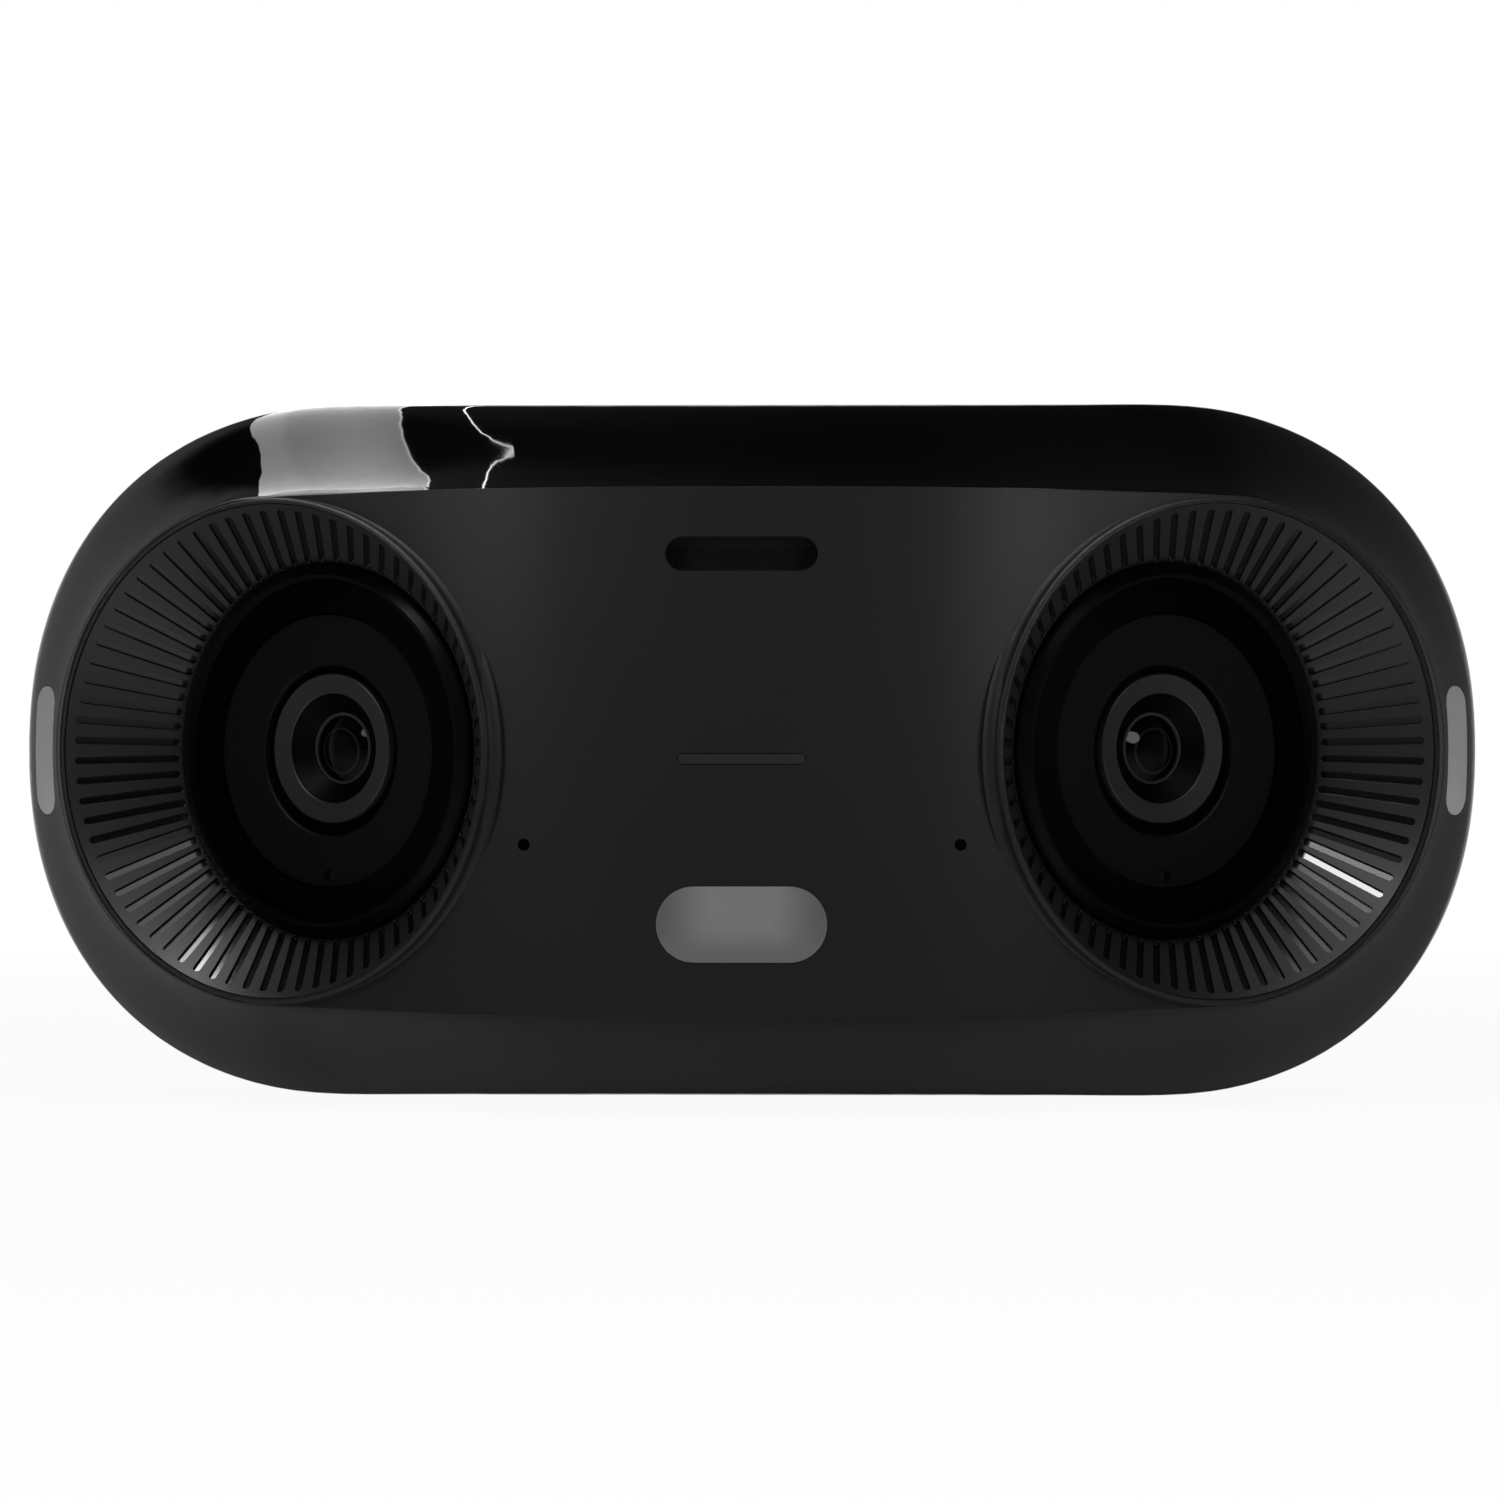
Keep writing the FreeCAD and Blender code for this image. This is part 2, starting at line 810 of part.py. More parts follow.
def end_sensor():
    """Motion sensor can behind the right end window, on its small carrier."""
    front = end_middle() - end_outward().multiply(end_sensor_drop)
    can = Part.makeCylinder(end_sensor_radius, end_sensor_length, front, end_outward().multiply(-1))
    rear = front - end_outward().multiply(end_sensor_length)
    carrier = pill(
        end_sensor_radius * 2, end_window_height, window_flange_thickness,
        rear, end_across(), Vec(0, 0, 1), end_outward().multiply(-1))
    return can.fuse(carrier).removeSplitter()


def screw_places():
    """X and Z of the eight case screws."""
    places = []
    for x, z in ((corner_screw_x, corner_screw_z), (pillar_offset_x, pillar_offset_z)):
        places += [(side * x, up * z) for side in (-1, 1) for up in (-1, 1)]
    return places


def rear_cover():
    """Rear cover with its screw posts, thread boss and service window."""
    cover = rear_body(0.0, -side_band - seam_gap, -rear_depth)
    inner = rear_body(wall, -side_band + overrun, -rear_depth + wall)
    shell = cover.cut(inner)
    floor = y_to_depth(-wall / 2)
    posts = []
    for x, z in screw_places():
        radius = corner_post_radius if abs(x) == corner_screw_x else cover_post_radius
        posts.append(rod(x, z, radius, (floor, -side_band - seam_gap)))
    boss_top = y_to_depth(-insert_length - insert_boss_floor)
    posts.append(rod(0, 0, insert_boss_radius, (floor, boss_top)))
    cutters = [rod(0, 0, insert_radius + insert_fit, (-rear_depth - overrun, y_to_depth(-insert_length)))]
    for x, z in screw_places():
        cutters.append(rod(x, z, screw_clearance, (-rear_depth - overrun, -side_band + overrun)))
        cutters.append(rod(x, z, counterbore_radius,
                           (-rear_depth - overrun, y_to_depth(-screw_head_height - screw_head_recess))))
    cutters.append(bay_plate(
        bay_window_half_width, bay_window_bottom, bay_window_top, (-wall - overrun, overrun)))
    cutters.append(y_box(
        (-finger_notch_half_width, finger_notch_half_width), (-finger_notch_depth, overrun),
        (bay_window_top - overrun, bay_window_top + finger_notch_height)))
    cutters.append(Part.makeCylinder(
        door_pin_radius, 2 * door_pin_half_length, Vec(-door_pin_half_length, door_hinge_y, door_hinge_z),
        Vec(1, 0, 0)))
    return shell.fuse(posts).cut(cutters).removeSplitter()


def bay_plate(half_width, bottom, top, y_range):
    """Plate whose two upper corners are rounded."""
    radius = bay_corner_radius
    low, high = y_range
    bend = radius * (1 - math.sqrt(0.5))
    points = [
        Vec(-half_width, low, bottom), Vec(half_width, low, bottom),
        Vec(half_width, low, top - radius), Vec(half_width - radius, low, top),
        Vec(-half_width + radius, low, top), Vec(-half_width, low, top - radius)]
    edges = [
        Part.LineSegment(points[0], points[1]), Part.LineSegment(points[1], points[2]),
        Part.Arc(points[2], Vec(half_width - bend, low, top - bend), points[3]),
        Part.LineSegment(points[3], points[4]),
        Part.Arc(points[4], Vec(-half_width + bend, low, top - bend), points[5]),
        Part.LineSegment(points[5], points[0])]
    wire = Part.Wire([edge.toShape() for edge in edges])
    return Part.Face(wire).extrude(Vec(0, high - low, 0))


def gasket():
    """Seal strip that bridges the rear seam on the inside."""
    outer = outline_prism(gasket_inset, gasket_front_depth, gasket_rear_depth)
    inner = outline_prism(
        gasket_inset + gasket_width, gasket_front_depth + overrun, gasket_rear_depth - overrun)
    return outer.cut(inner)


# Slotted funnel


def funnel_cone(growth):
    """Oblique cone between the mouth circle and the floor circle."""
    mouth = Part.Circle(Vec(0, 0, 0), Vec(0, 0, 1), mouth_radius + growth).toShape()
    floor = Part.Circle(Vec(0, 0, -funnel_floor_drop), Vec(0, 0, 1), funnel_floor_radius + growth).toShape()
    rings = [Part.Wire([placed(mouth, mouth_frame())]), Part.Wire([placed(floor, eye_frame())])]
    return Part.makeLoft(rings, True, True)


def funnel_envelope(growth):
    """Outer form of the right funnel piece: oblique cone inside the mouth, with its neck."""
    cone = funnel_cone(funnel_wall / cosine(funnel_slope) + growth)
    reach = 2 * mouth_radius
    limit = Part.makeCylinder(mouth_radius - mouth_fit + growth, reach, Vec(0, 0, -reach))
    neck_radius = funnel_floor_radius + neck_wall + growth
    neck = Part.makeCylinder(
        neck_radius, neck_length + growth, Vec(0, 0, -funnel_floor_drop - neck_length - growth))
    return cone.common(placed(limit, mouth_frame())).fuse(placed(neck, eye_frame()))


def funnel_slots():
    """Radial slots cut square to the funnel wall, each as long as the wall is there."""
    slots = []
    mouth_place = mouth_frame()
    eye_place = eye_frame()
    for i in range(slot_count):
        angle = 360.0 * (i + 0.5) / slot_count
        spoke = Vec(cosine(angle), sine(angle), 0)
        lip = mouth_place.multVec(Vec(spoke).multiply(mouth_radius))
        floor_local = Vec(spoke).multiply(funnel_floor_radius)
        floor_local.z = -funnel_floor_drop
        floor = eye_place.multVec(floor_local)
        along = (lip - floor).normalize()
        tangent = mouth_place.Rotation.multVec(Vec(-sine(angle), cosine(angle), 0))
        normal = along.cross(tangent).normalize()
        if normal.dot(mouth_place.Base - lip) < 0:
            normal.multiply(-1)
        width_way = normal.cross(along).normalize()
        length = lip.distanceToPoint(floor) - slot_mouth_land - slot_floor_land
        middle = floor + Vec(along).multiply(slot_floor_land + length / 2)
        base = middle - Vec(normal).multiply(slot_depth)
        slots.append(pill(length, slot_width, slot_depth * 2, base, along, width_way, normal))
    return slots


def funnel_bore():
    """Hollow of the funnel, from in front of its mouth through its neck."""
    ahead = placed(Part.makeCylinder(mouth_radius, mouth_radius), mouth_frame())
    neck = Part.makeCylinder(
        funnel_floor_radius, neck_length + 2 * overrun, Vec(0, 0, -funnel_floor_drop - neck_length - overrun))
    return funnel_cone(0.0).fuse([ahead, placed(neck, eye_frame())])


def module_room():
    """Space kept clear round the right module: its funnel, neck and dish with a gap."""
    radius = funnel_floor_radius + neck_wall + module_gap
    length = dish_root_drop + module_gap
    core = Part.makeCylinder(radius, length, Vec(0, 0, -length))
    return funnel_envelope(module_gap).fuse(placed(core, eye_frame()))


def funnel():
    """Ribbed funnel piece of the right module."""
    return funnel_envelope(0.0).cut(funnel_bore()).cut(funnel_slots())


# Eye of the right module, drawn about its own axis with Z outwards


def rim_ring():
    outer = funnel_floor_radius - piece_fit
    return turned([
        (outer, -rim_root_drop), (outer, -rim_shoulder_rise), (rim_shoulder_radius, rim_shoulder_rise),
        (rim_crest_radius, rim_crest_rise), (rim_inner_radius, rim_crest_rise),
        (rim_inner_radius, -rim_root_drop)])


def raised(shape):
    """Move from the eye's axis to the lens axis."""
    return placed(shape, FreeCAD.Placement(Vec(0, lens_raise, 0), FreeCAD.Rotation()))


def post_places():
    return [(side * post_offset, up * post_offset) for side in (-1, 1) for up in (-1, 1)]


def eye_dish():
    """Black dish: sloping border, recessed floor for the plate, skirt and sensor board posts."""
    outer = rim_inner_radius - piece_fit
    floor = -dish_floor_drop
    under = floor - dish_floor_thickness
    dish = turned([
        (outer, -dish_edge_drop), (plate_radius, -dish_step_drop), (plate_radius, floor), (0, floor),
        (0, under), (dish_skirt_radius, under), (dish_skirt_radius, -dish_root_drop), (outer, -dish_root_drop)])
    length = sensor_board_drop + under
    posts = [
        Part.makeCylinder(post_radius, length, Vec(x, y, -sensor_board_drop)) for x, y in post_places()]
    bore = raised(Part.makeCylinder(
        lens_ring_radius + piece_fit, 2 * dish_root_drop, Vec(0, 0, -2 * dish_root_drop)))
    cutters = [bore, light_hole()]
    for x, y in post_places():
        cutters.append(Part.makeCylinder(
            small_screw_radius + small_screw_fit, small_screw_length + overrun,
            Vec(x, y, -sensor_board_drop - overrun)))
    return dish.fuse(posts).cut(cutters).removeSplitter()


def light_hole():
    """Bore of the light sensor hole through the plate and the dish."""
    return Part.makeCylinder(
        light_hole_radius, 2 * dish_root_drop, Vec(0, -light_hole_offset, -2 * dish_root_drop))


def eye_plate():
    """Satin ring plate, slightly dished, with the small light sensor hole below the lens."""
    outer = plate_radius - piece_fit
    inner = plate_bore_radius
    inner_front = -plate_drop - plate_dish
    plate = turned([
        (outer - plate_chamfer, -plate_drop), (outer, -plate_drop - plate_chamfer),
        (outer, -plate_drop - plate_thickness), (inner, inner_front - plate_thickness),
        (inner, inner_front - plate_chamfer), (inner + plate_chamfer, inner_front)])
    return plate.cut(light_hole())


def light_pipe():
    """Clear rod that carries light from the small hole back to the sensor board."""
    radius = light_hole_radius - piece_fit
    return Part.makeCylinder(
        radius, sensor_board_drop - light_pipe_drop, Vec(0, -light_hole_offset, -sensor_board_drop))


def lens_ring():
    outer = lens_ring_radius
    inner = lens_ring_bore
    inner_front = -lens_ring_drop - lens_ring_dish
    return raised(turned([
        (outer - lens_ring_chamfer, -lens_ring_drop), (outer, -lens_ring_drop - lens_ring_chamfer),
        (outer, -lens_ring_root_drop), (inner, -lens_ring_root_drop),
        (inner, inner_front - lens_ring_chamfer), (inner + lens_ring_chamfer, inner_front)]))


def lens_barrel():
    head = lens_ring_bore - piece_fit
    return raised(turned([
        (head, -barrel_drop), (lens_bore_radius, -lens_seat_drop), (lens_bore_radius, -lens_bore_drop),
        (barrel_light_radius, -lens_bore_drop), (barrel_light_radius, -barrel_rear_drop),
        (barrel_thread_radius, -barrel_rear_drop), (barrel_thread_radius, -barrel_head_drop),
        (head, -barrel_head_drop)]))


def lens_retainer():
    return raised(turned([
        (lens_flange_radius, -retainer_front_drop), (retainer_bore, -retainer_front_drop),
        (retainer_bore, -retainer_rear_drop), (lens_flange_radius, -retainer_rear_drop)]))


def lens_element():
    """Domed front element of the lens."""
    dome_radius = (lens_radius ** 2 + lens_crown ** 2) / (2 * lens_crown)
    apex = -lens_edge_drop + lens_crown
    half_angle = math.degrees(math.asin(lens_radius / dome_radius)) / 2
    halfway = Vec(dome_radius * sine(half_angle), 0, apex - dome_radius * (1 - cosine(half_angle)))
    dome = Part.Arc(Vec(0, 0, apex), halfway, Vec(lens_radius, 0, -lens_edge_drop))
    corners = [
        Vec(lens_radius, 0, -lens_edge_drop), Vec(lens_radius, 0, -lens_flange_drop),
        Vec(lens_flange_radius, 0, -lens_flange_drop), Vec(lens_flange_radius, 0, -lens_rear_drop),
        Vec(0, 0, -lens_rear_drop), Vec(0, 0, apex)]
    edges = [dome.toShape()]
    edges += [Part.LineSegment(a, b).toShape() for a, b in zip(corners, corners[1:])]
    return raised(turned_edges(edges))


def centred_box(width, height, front_drop, rear_drop):
    """Block on the eye's axis between two drops."""
    return Part.makeBox(
        width, height, rear_drop - front_drop, Vec(-width / 2, -height / 2, -rear_drop))


def lens_holder():
    """Threaded holder of the barrel, with the filter track and the image sensor's pocket in its base."""
    tube = Part.makeCylinder(
        holder_radius, holder_base_drop - holder_front_drop + overrun, Vec(0, 0, -holder_base_drop - overrun))
    base = centred_box(holder_base_width, holder_base_height, holder_base_drop, sensor_board_drop)
    cutters = [
        Part.makeCylinder(
            barrel_thread_radius + piece_fit, holder_base_drop - holder_front_drop + overrun,
            Vec(0, 0, -holder_base_drop)),
        Part.makeCylinder(barrel_light_radius, 2 * overrun, Vec(0, 0, -filter_track_front_drop - overrun / 2)),
        centred_box(filter_track_width, filter_track_height, filter_track_front_drop, filter_track_rear_drop),
        centred_box(image_sensor_pocket, image_sensor_pocket, filter_track_rear_drop - overrun / 2,
                    sensor_board_drop + overrun)]
    return raised(tube.fuse(base).cut(cutters).removeSplitter())


def filter_length():
    return 2 * filter_window + 3 * filter_frame_width


def filter_drop():
    return filter_track_front_drop + filter_gap


def filter_openings(growth):
    """The two window openings of the filter frame; the first one is on the lens axis."""
    openings = []
    size = filter_window + 2 * growth
    pitch = filter_window + filter_frame_width
    for i in range(2):
        x = i * pitch - size / 2
        openings.append(Part.makeBox(
            size, size, filter_thickness, Vec(x, -size / 2, -filter_drop() - filter_thickness)))
    return openings


def filter_frame():
    height = filter_track_height - 2 * filter_gap
    start = -filter_window / 2 - filter_frame_width
    plate = Part.makeBox(
        filter_length(), height, filter_thickness, Vec(start, -height / 2, -filter_drop() - filter_thickness))
    return raised(plate.cut(filter_openings(0.0)))


def filter_panes():
    return raised(Part.makeCompound(filter_openings(-filter_pane_fit)))


def image_sensor():
    size = image_sensor_size
    return raised(centred_box(size, size, sensor_board_drop - image_sensor_height, sensor_board_drop))


def sensor_board():
    board = centred_box(
        sensor_board_width, sensor_board_height, sensor_board_drop, sensor_board_drop + sensor_board_thickness)
    cutters = []
    for x, y in post_places():
        cutters.append(Part.makeCylinder(
            small_screw_radius + small_screw_fit, 4 * overrun, Vec(x, y, -sensor_board_drop - 2 * overrun)))
    return board.cut(cutters)


def small_screws():
    """Four screws that hold the sensor board to the posts."""
    screws = []
    rear = -sensor_board_drop - sensor_board_thickness
    for x, y in post_places():
        shank = Part.makeCylinder(small_screw_radius, small_screw_length, Vec(x, y, rear))
        head = Part.makeCylinder(
            small_screw_head_radius, small_screw_head_height, Vec(x, y, rear - small_screw_head_height))
        screws.append(shank.fuse(head).removeSplitter())
    return screws


# Electronics in the middle


def pillar_places():
    return [(side * pillar_offset_x, up * pillar_offset_z) for side in (-1, 1) for up in (-1, 1)]


def main_board():
    """Main circuit board with its larger components."""
    front = board_front_depth
    board = box(
        (-board_half_width, board_half_width), (board_rear_depth, front),
        (-board_half_height, board_half_height))
    components = []
    for x, width, z, height, thickness in board_chips:
        components.append(box((x, x + width), (front, front + thickness), (z, z + height)))
    for i in (-1, 0, 1):
        x = i * status_lamp_pitch - status_lamp_width / 2
        z = status_z - status_lamp_height / 2
        components.append(box(
            (x, x + status_lamp_width), (front, front + status_lamp_thickness), (z, z + status_lamp_height)))
    cutters = [
        rod(x, z, screw_pilot, (board_rear_depth - board_thickness, front + board_thickness))
        for x, z in pillar_places()]
    cutters += both_sides(module_room())
    return board.fuse(components).cut(cutters).removeSplitter()


def heat_spreader():
    """Finned plate behind the main board."""
    plate = box(
        (-spreader_half_width, spreader_half_width), (spreader_depth, board_rear_depth - post_gap),
        (-spreader_half_height, spreader_half_height))
    pitch = (2 * spreader_half_width - spreader_fin_width) / (spreader_fins - 1)
    fin_depth = spreader_depth - spreader_fin_share * (spreader_depth - frame_front_depth)
    fins = []
    for i in range(spreader_fins):
        x = -spreader_half_width + i * pitch
        fins.append(box(
            (x, x + spreader_fin_width), (fin_depth, spreader_depth),
            (-spreader_half_height, spreader_half_height)))
    return plate.fuse(fins).cut(both_sides(module_room())).removeSplitter()


def mid_frame():
    """Inner frame: plate with four pillars that reach from the rear cover to the main board."""
    plate = box(
        (-frame_half_width, frame_half_width), (frame_rear_depth, frame_front_depth),
        (-frame_half_height, frame_half_height))
    opening = (-frame_opening, frame_opening)
    cutters = [box(opening, (frame_rear_depth - frame_thickness, frame_front_depth + frame_thickness), opening)]
    cutters += both_sides(module_room())
    pillars = []
    for x, z in pillar_places():
        pillars.append(rod(x, z, pillar_radius, (-side_band + post_gap, frame_rear_depth)))
        pillars.append(rod(x, z, standoff_radius, (frame_front_depth, board_rear_depth)))
        cutters.append(rod(x, z, screw_pilot, (-side_band - overrun, 0.0)))
        cutters.append(rod(
            x, z, small_screw_radius + small_screw_fit,
            (board_rear_depth - small_screw_length, board_front_depth)))
    return plate.fuse(pillars).cut(cutters).removeSplitter()


def board_screws():
    """Screws that hold the main board to the pillars."""
    screws = []
    for x, z in pillar_places():
        front = board_front_depth
        shank = rod(x, z, small_screw_radius, (front + small_screw_head_height / 2, front - small_screw_length))
        head = rod(x, z, board_screw_head_radius, (front, front + small_screw_head_height))
        screws.append(shank.fuse(head).removeSplitter())
    return screws


def speaker():
    """Flat speaker with a recessed cone behind the sound slot."""
    body = front_pill(0, sound_slot_z, speaker_width, speaker_height, (speaker_rear_depth, speaker_front_depth))
    recess = front_pill(
        0, sound_slot_z, speaker_width - 2 * speaker_rim, speaker_height - 2 * speaker_rim,
        (speaker_front_depth - speaker_recess, speaker_front_depth + speaker_recess))
    return body.cut(recess)


def front_sensor():
    """Motion sensor can behind the front window."""
    base = rod(
        0, sensor_window_z, sensor_can_radius + sensor_can_base,
        (board_front_depth, board_front_depth + sensor_can_base_height))
    can = rod(0, sensor_window_z, sensor_can_radius, (board_front_depth, sensor_can_depth))
    return base.fuse(can).removeSplitter()


def microphones():
    """Rubber boots of the two microphones, standing on the main board."""
    front = panel_depth(microphone_offset) - panel_thickness - microphone_boot_gap
    return [
        rod(side * microphone_offset, microphone_z, microphone_boot_radius, (board_front_depth, front))
        for side in (-1, 1)]


def battery_cells():
    cells = []
    for side in (-1, 1):
        base = at(side * cell_offset, cell_depth, -cell_length / 2)
        length = cell_length - cell_tip_length
        can = Part.makeCylinder(cell_radius, length, base)
        tip = Part.makeCylinder(cell_radius * cell_tip_share, cell_tip_length, base + Vec(0, 0, length))
        cells.append(can.fuse(tip).removeSplitter())
    return cells


def battery_holder():
    """Open tray with a trough for each cell and lugs round the pillars."""
    tray = box(
        (-holder_half_width, holder_half_width), (holder_rear_depth, holder_front_depth),
        (-holder_half_height, holder_half_height))
    cutters = []
    for side in (-1, 1):
        length = cell_length + 2 * cell_clearance
        cutters.append(Part.makeCylinder(
            cell_radius + cell_clearance, length, at(side * cell_offset, cell_depth, -length / 2)))
    lugs = []
    depths = (holder_rear_depth, holder_rear_depth + lug_thickness)
    for x, z in pillar_places():
        side = 1 if x > 0 else -1
        reach = sorted((side * (holder_half_width - holder_side / 2), x))
        lugs.append(rod(x, z, lug_radius, depths))
        lugs.append(box(reach, depths, (z - lug_radius, z + lug_radius)))
        cutters.append(rod(x, z, pillar_radius + cell_clearance, (0.0, holder_front_depth)))
    return tray.fuse(lugs).cut(cutters).removeSplitter()


def antennas():
    """Two strip antennas under the top of the shell."""
    strips = []
    for side in (-1, 1):
        reach = sorted((side * antenna_x, side * (antenna_x + antenna_length)))
        strips.append(box(
            reach, (antenna_rear_depth, antenna_front_depth), (antenna_z, antenna_z + antenna_thickness)))
    return strips


# Rear: mounting thread, case screws and service bay


def thread_insert():
    """Metal insert whose bore takes the mounting screw."""
    body = y_rod(0, 0, insert_radius, (-insert_length, 0.0))
    return body.cut(y_rod(0, 0, thread_radius, (-insert_length - overrun, overrun)))


def case_screws():
    """Eight equal case screws with hexagon sockets."""
    screws = []
    seat = -screw_head_recess - screw_head_height
    for x, z in screw_places():
        head = y_rod(x, z, screw_head_radius, (seat, -screw_head_recess))
        shank = y_rod(x, z, screw_radius, (seat - screw_length, seat))
        corners = []
        for angle in range(0, 361, 60):
            across = screw_socket_radius * cosine(angle)
            up = screw_socket_radius * sine(angle)
            corners.append(Vec(x + across, -screw_head_recess, z + up))
        socket = Part.Face(Part.makePolygon(corners)).extrude(Vec(0, -screw_socket_depth, 0))
        screws.append(head.fuse(shank).cut(socket).removeSplitter())
    return screws


def service_tray():
    """Sealed tray behind the service window, with openings for the sockets and the button."""
    flange_top = -wall - bay_flange_gap
    flange_bottom = flange_top - bay_wall
    flange = y_box(
        (-bay_flange_half_width, bay_flange_half_width), (flange_bottom, flange_top),
        (bay_window_bottom - bay_flange_margin, bay_window_top + bay_flange_margin))
    well = y_box(
        (-bay_half_width - bay_wall, bay_half_width + bay_wall), (bay_floor_y, flange_top),
        (bay_bottom - bay_wall, bay_top + bay_wall))
    hollow = y_box(
        (-bay_half_width, bay_half_width), (bay_floor_y + bay_wall, overrun), (bay_bottom, bay_top))
    through = (bay_floor_y - overrun, bay_floor_y + bay_wall + overrun)
    cutters = [hollow]
    cutters.append(y_pill(usb_x, usb_width + 2 * port_fit, usb_height + 2 * port_fit, through))
    cutters.append(y_box(
        (card_x - card_width / 2 - port_fit, card_x + card_width / 2 + port_fit), through,
        (port_z - card_height / 2 - port_fit, port_z + card_height / 2 + port_fit)))
    cutters.append(y_rod(button_x, port_z, button_radius + button_hole_fit, through))
    return flange.fuse(well).cut(cutters).removeSplitter()


def y_pill(x, width, height, y_range):
    """Stadium prism along Y at the height of the sockets."""
    base = Vec(x, y_range[0], port_z)
    return pill(width, height, y_range[1] - y_range[0], base, Vec(1, 0, 0), Vec(0, 0, 1), Vec(0, 1, 0))


def service_door():
    """Flush door with a round hinge edge at its foot and the bore for the hinge pin."""
    leaf = bay_plate(door_half_width, door_hinge_z, door_top, (-door_thickness, 0.0))
    start = Vec(-door_half_width, door_hinge_y, door_hinge_z)
    barrel = Part.makeCylinder(door_thickness / 2, 2 * door_half_width, start, Vec(1, 0, 0))
    bore = Part.makeCylinder(
        door_pin_radius + door_pin_play, 2 * door_half_width + 2 * overrun,
        start - Vec(overrun, 0, 0), Vec(1, 0, 0))
    return leaf.fuse(barrel).cut(bore).removeSplitter()


def door_pin():
    start = Vec(-door_pin_half_length, door_hinge_y, door_hinge_z)
    return Part.makeCylinder(door_pin_radius, 2 * door_pin_half_length, start, Vec(1, 0, 0))


def door_seal():
    """Lip on the inside of the door that closes into the tray."""
    outer = y_box(
        (-seal_half_width, seal_half_width), (-door_thickness - seal_depth, -door_thickness),
        (seal_bottom, seal_top))
    inner = y_box(
        (-seal_half_width + seal_thickness, seal_half_width - seal_thickness),
        (-door_thickness - seal_depth - overrun, overrun),
        (seal_bottom + seal_thickness, seal_top - seal_thickness))
    return outer.cut(inner)


def port_board():
    """Small board behind the tray, with the push switch of the button."""
    board = y_box(
        (-port_board_half_width, port_board_half_width), (port_board_y - port_board_thickness, port_board_y),
        (port_z - port_board_half_height, port_z + port_board_half_height))
    switch = y_box(
        (button_x - switch_size / 2, button_x + switch_size / 2), (port_board_y, port_board_y + switch_height),
        (port_z - switch_size / 2, port_z + switch_size / 2))
    return board.fuse(switch).removeSplitter()


def charging_socket():
    """Flat oval socket with its tongue."""
    shell = y_pill(usb_x, usb_width, usb_height, (port_board_y, port_front_y))
    hollow = y_pill(
        usb_x, usb_width - 2 * usb_wall, usb_height - 2 * usb_wall,
        (port_front_y - usb_depth, port_front_y + overrun))
    tongue = y_box(
        (usb_x - usb_tongue_width / 2, usb_x + usb_tongue_width / 2),
        (port_front_y - usb_depth - usb_tongue_root, port_front_y - usb_tongue_setback),
        (port_z - usb_tongue_height / 2, port_z + usb_tongue_height / 2))
    return shell.cut(hollow).fuse(tongue).removeSplitter()


def card_socket():
    """Socket with the slot for a small memory card."""
    block = y_box(
        (card_x - card_width / 2, card_x + card_width / 2), (port_board_y, port_front_y),
        (port_z - card_height / 2, port_z + card_height / 2))
    slot = y_box(
        (card_x - card_slot_width / 2, card_x + card_slot_width / 2),
        (port_front_y - card_slot_depth, port_front_y + overrun),
        (port_z - card_slot_height / 2, port_z + card_slot_height / 2))
    return block.cut(slot)


def reset_button():
    """Push button whose flange keeps it behind the tray's floor."""
    cap = y_rod(button_x, port_z, button_radius, (button_rear_y, button_front_y))
    flange = y_rod(
        button_x, port_z, button_flange_radius, (button_flange_y - button_flange_thickness, button_flange_y))
    return cap.fuse(flange).removeSplitter()


def eye_pieces():
    """Pieces of one eye, in their own frame."""
    return {
        "rim_ring": rim_ring(),
        "eye_dish": eye_dish(),
        "eye_plate": eye_plate(),
        "lens_ring": lens_ring(),
        "lens_barrel": lens_barrel(),
        "lens_retainer": lens_retainer(),
        "lens_element": lens_element(),
        "lens_holder": lens_holder(),
        "filter_frame": filter_frame(),
        "filter_panes": filter_panes(),
        "image_sensor": image_sensor(),
        "sensor_board": sensor_board(),
    }


def both_sides(shape):
    """One group with the piece on the right and its twin on the left."""
    return [shape, mirrored(shape)]


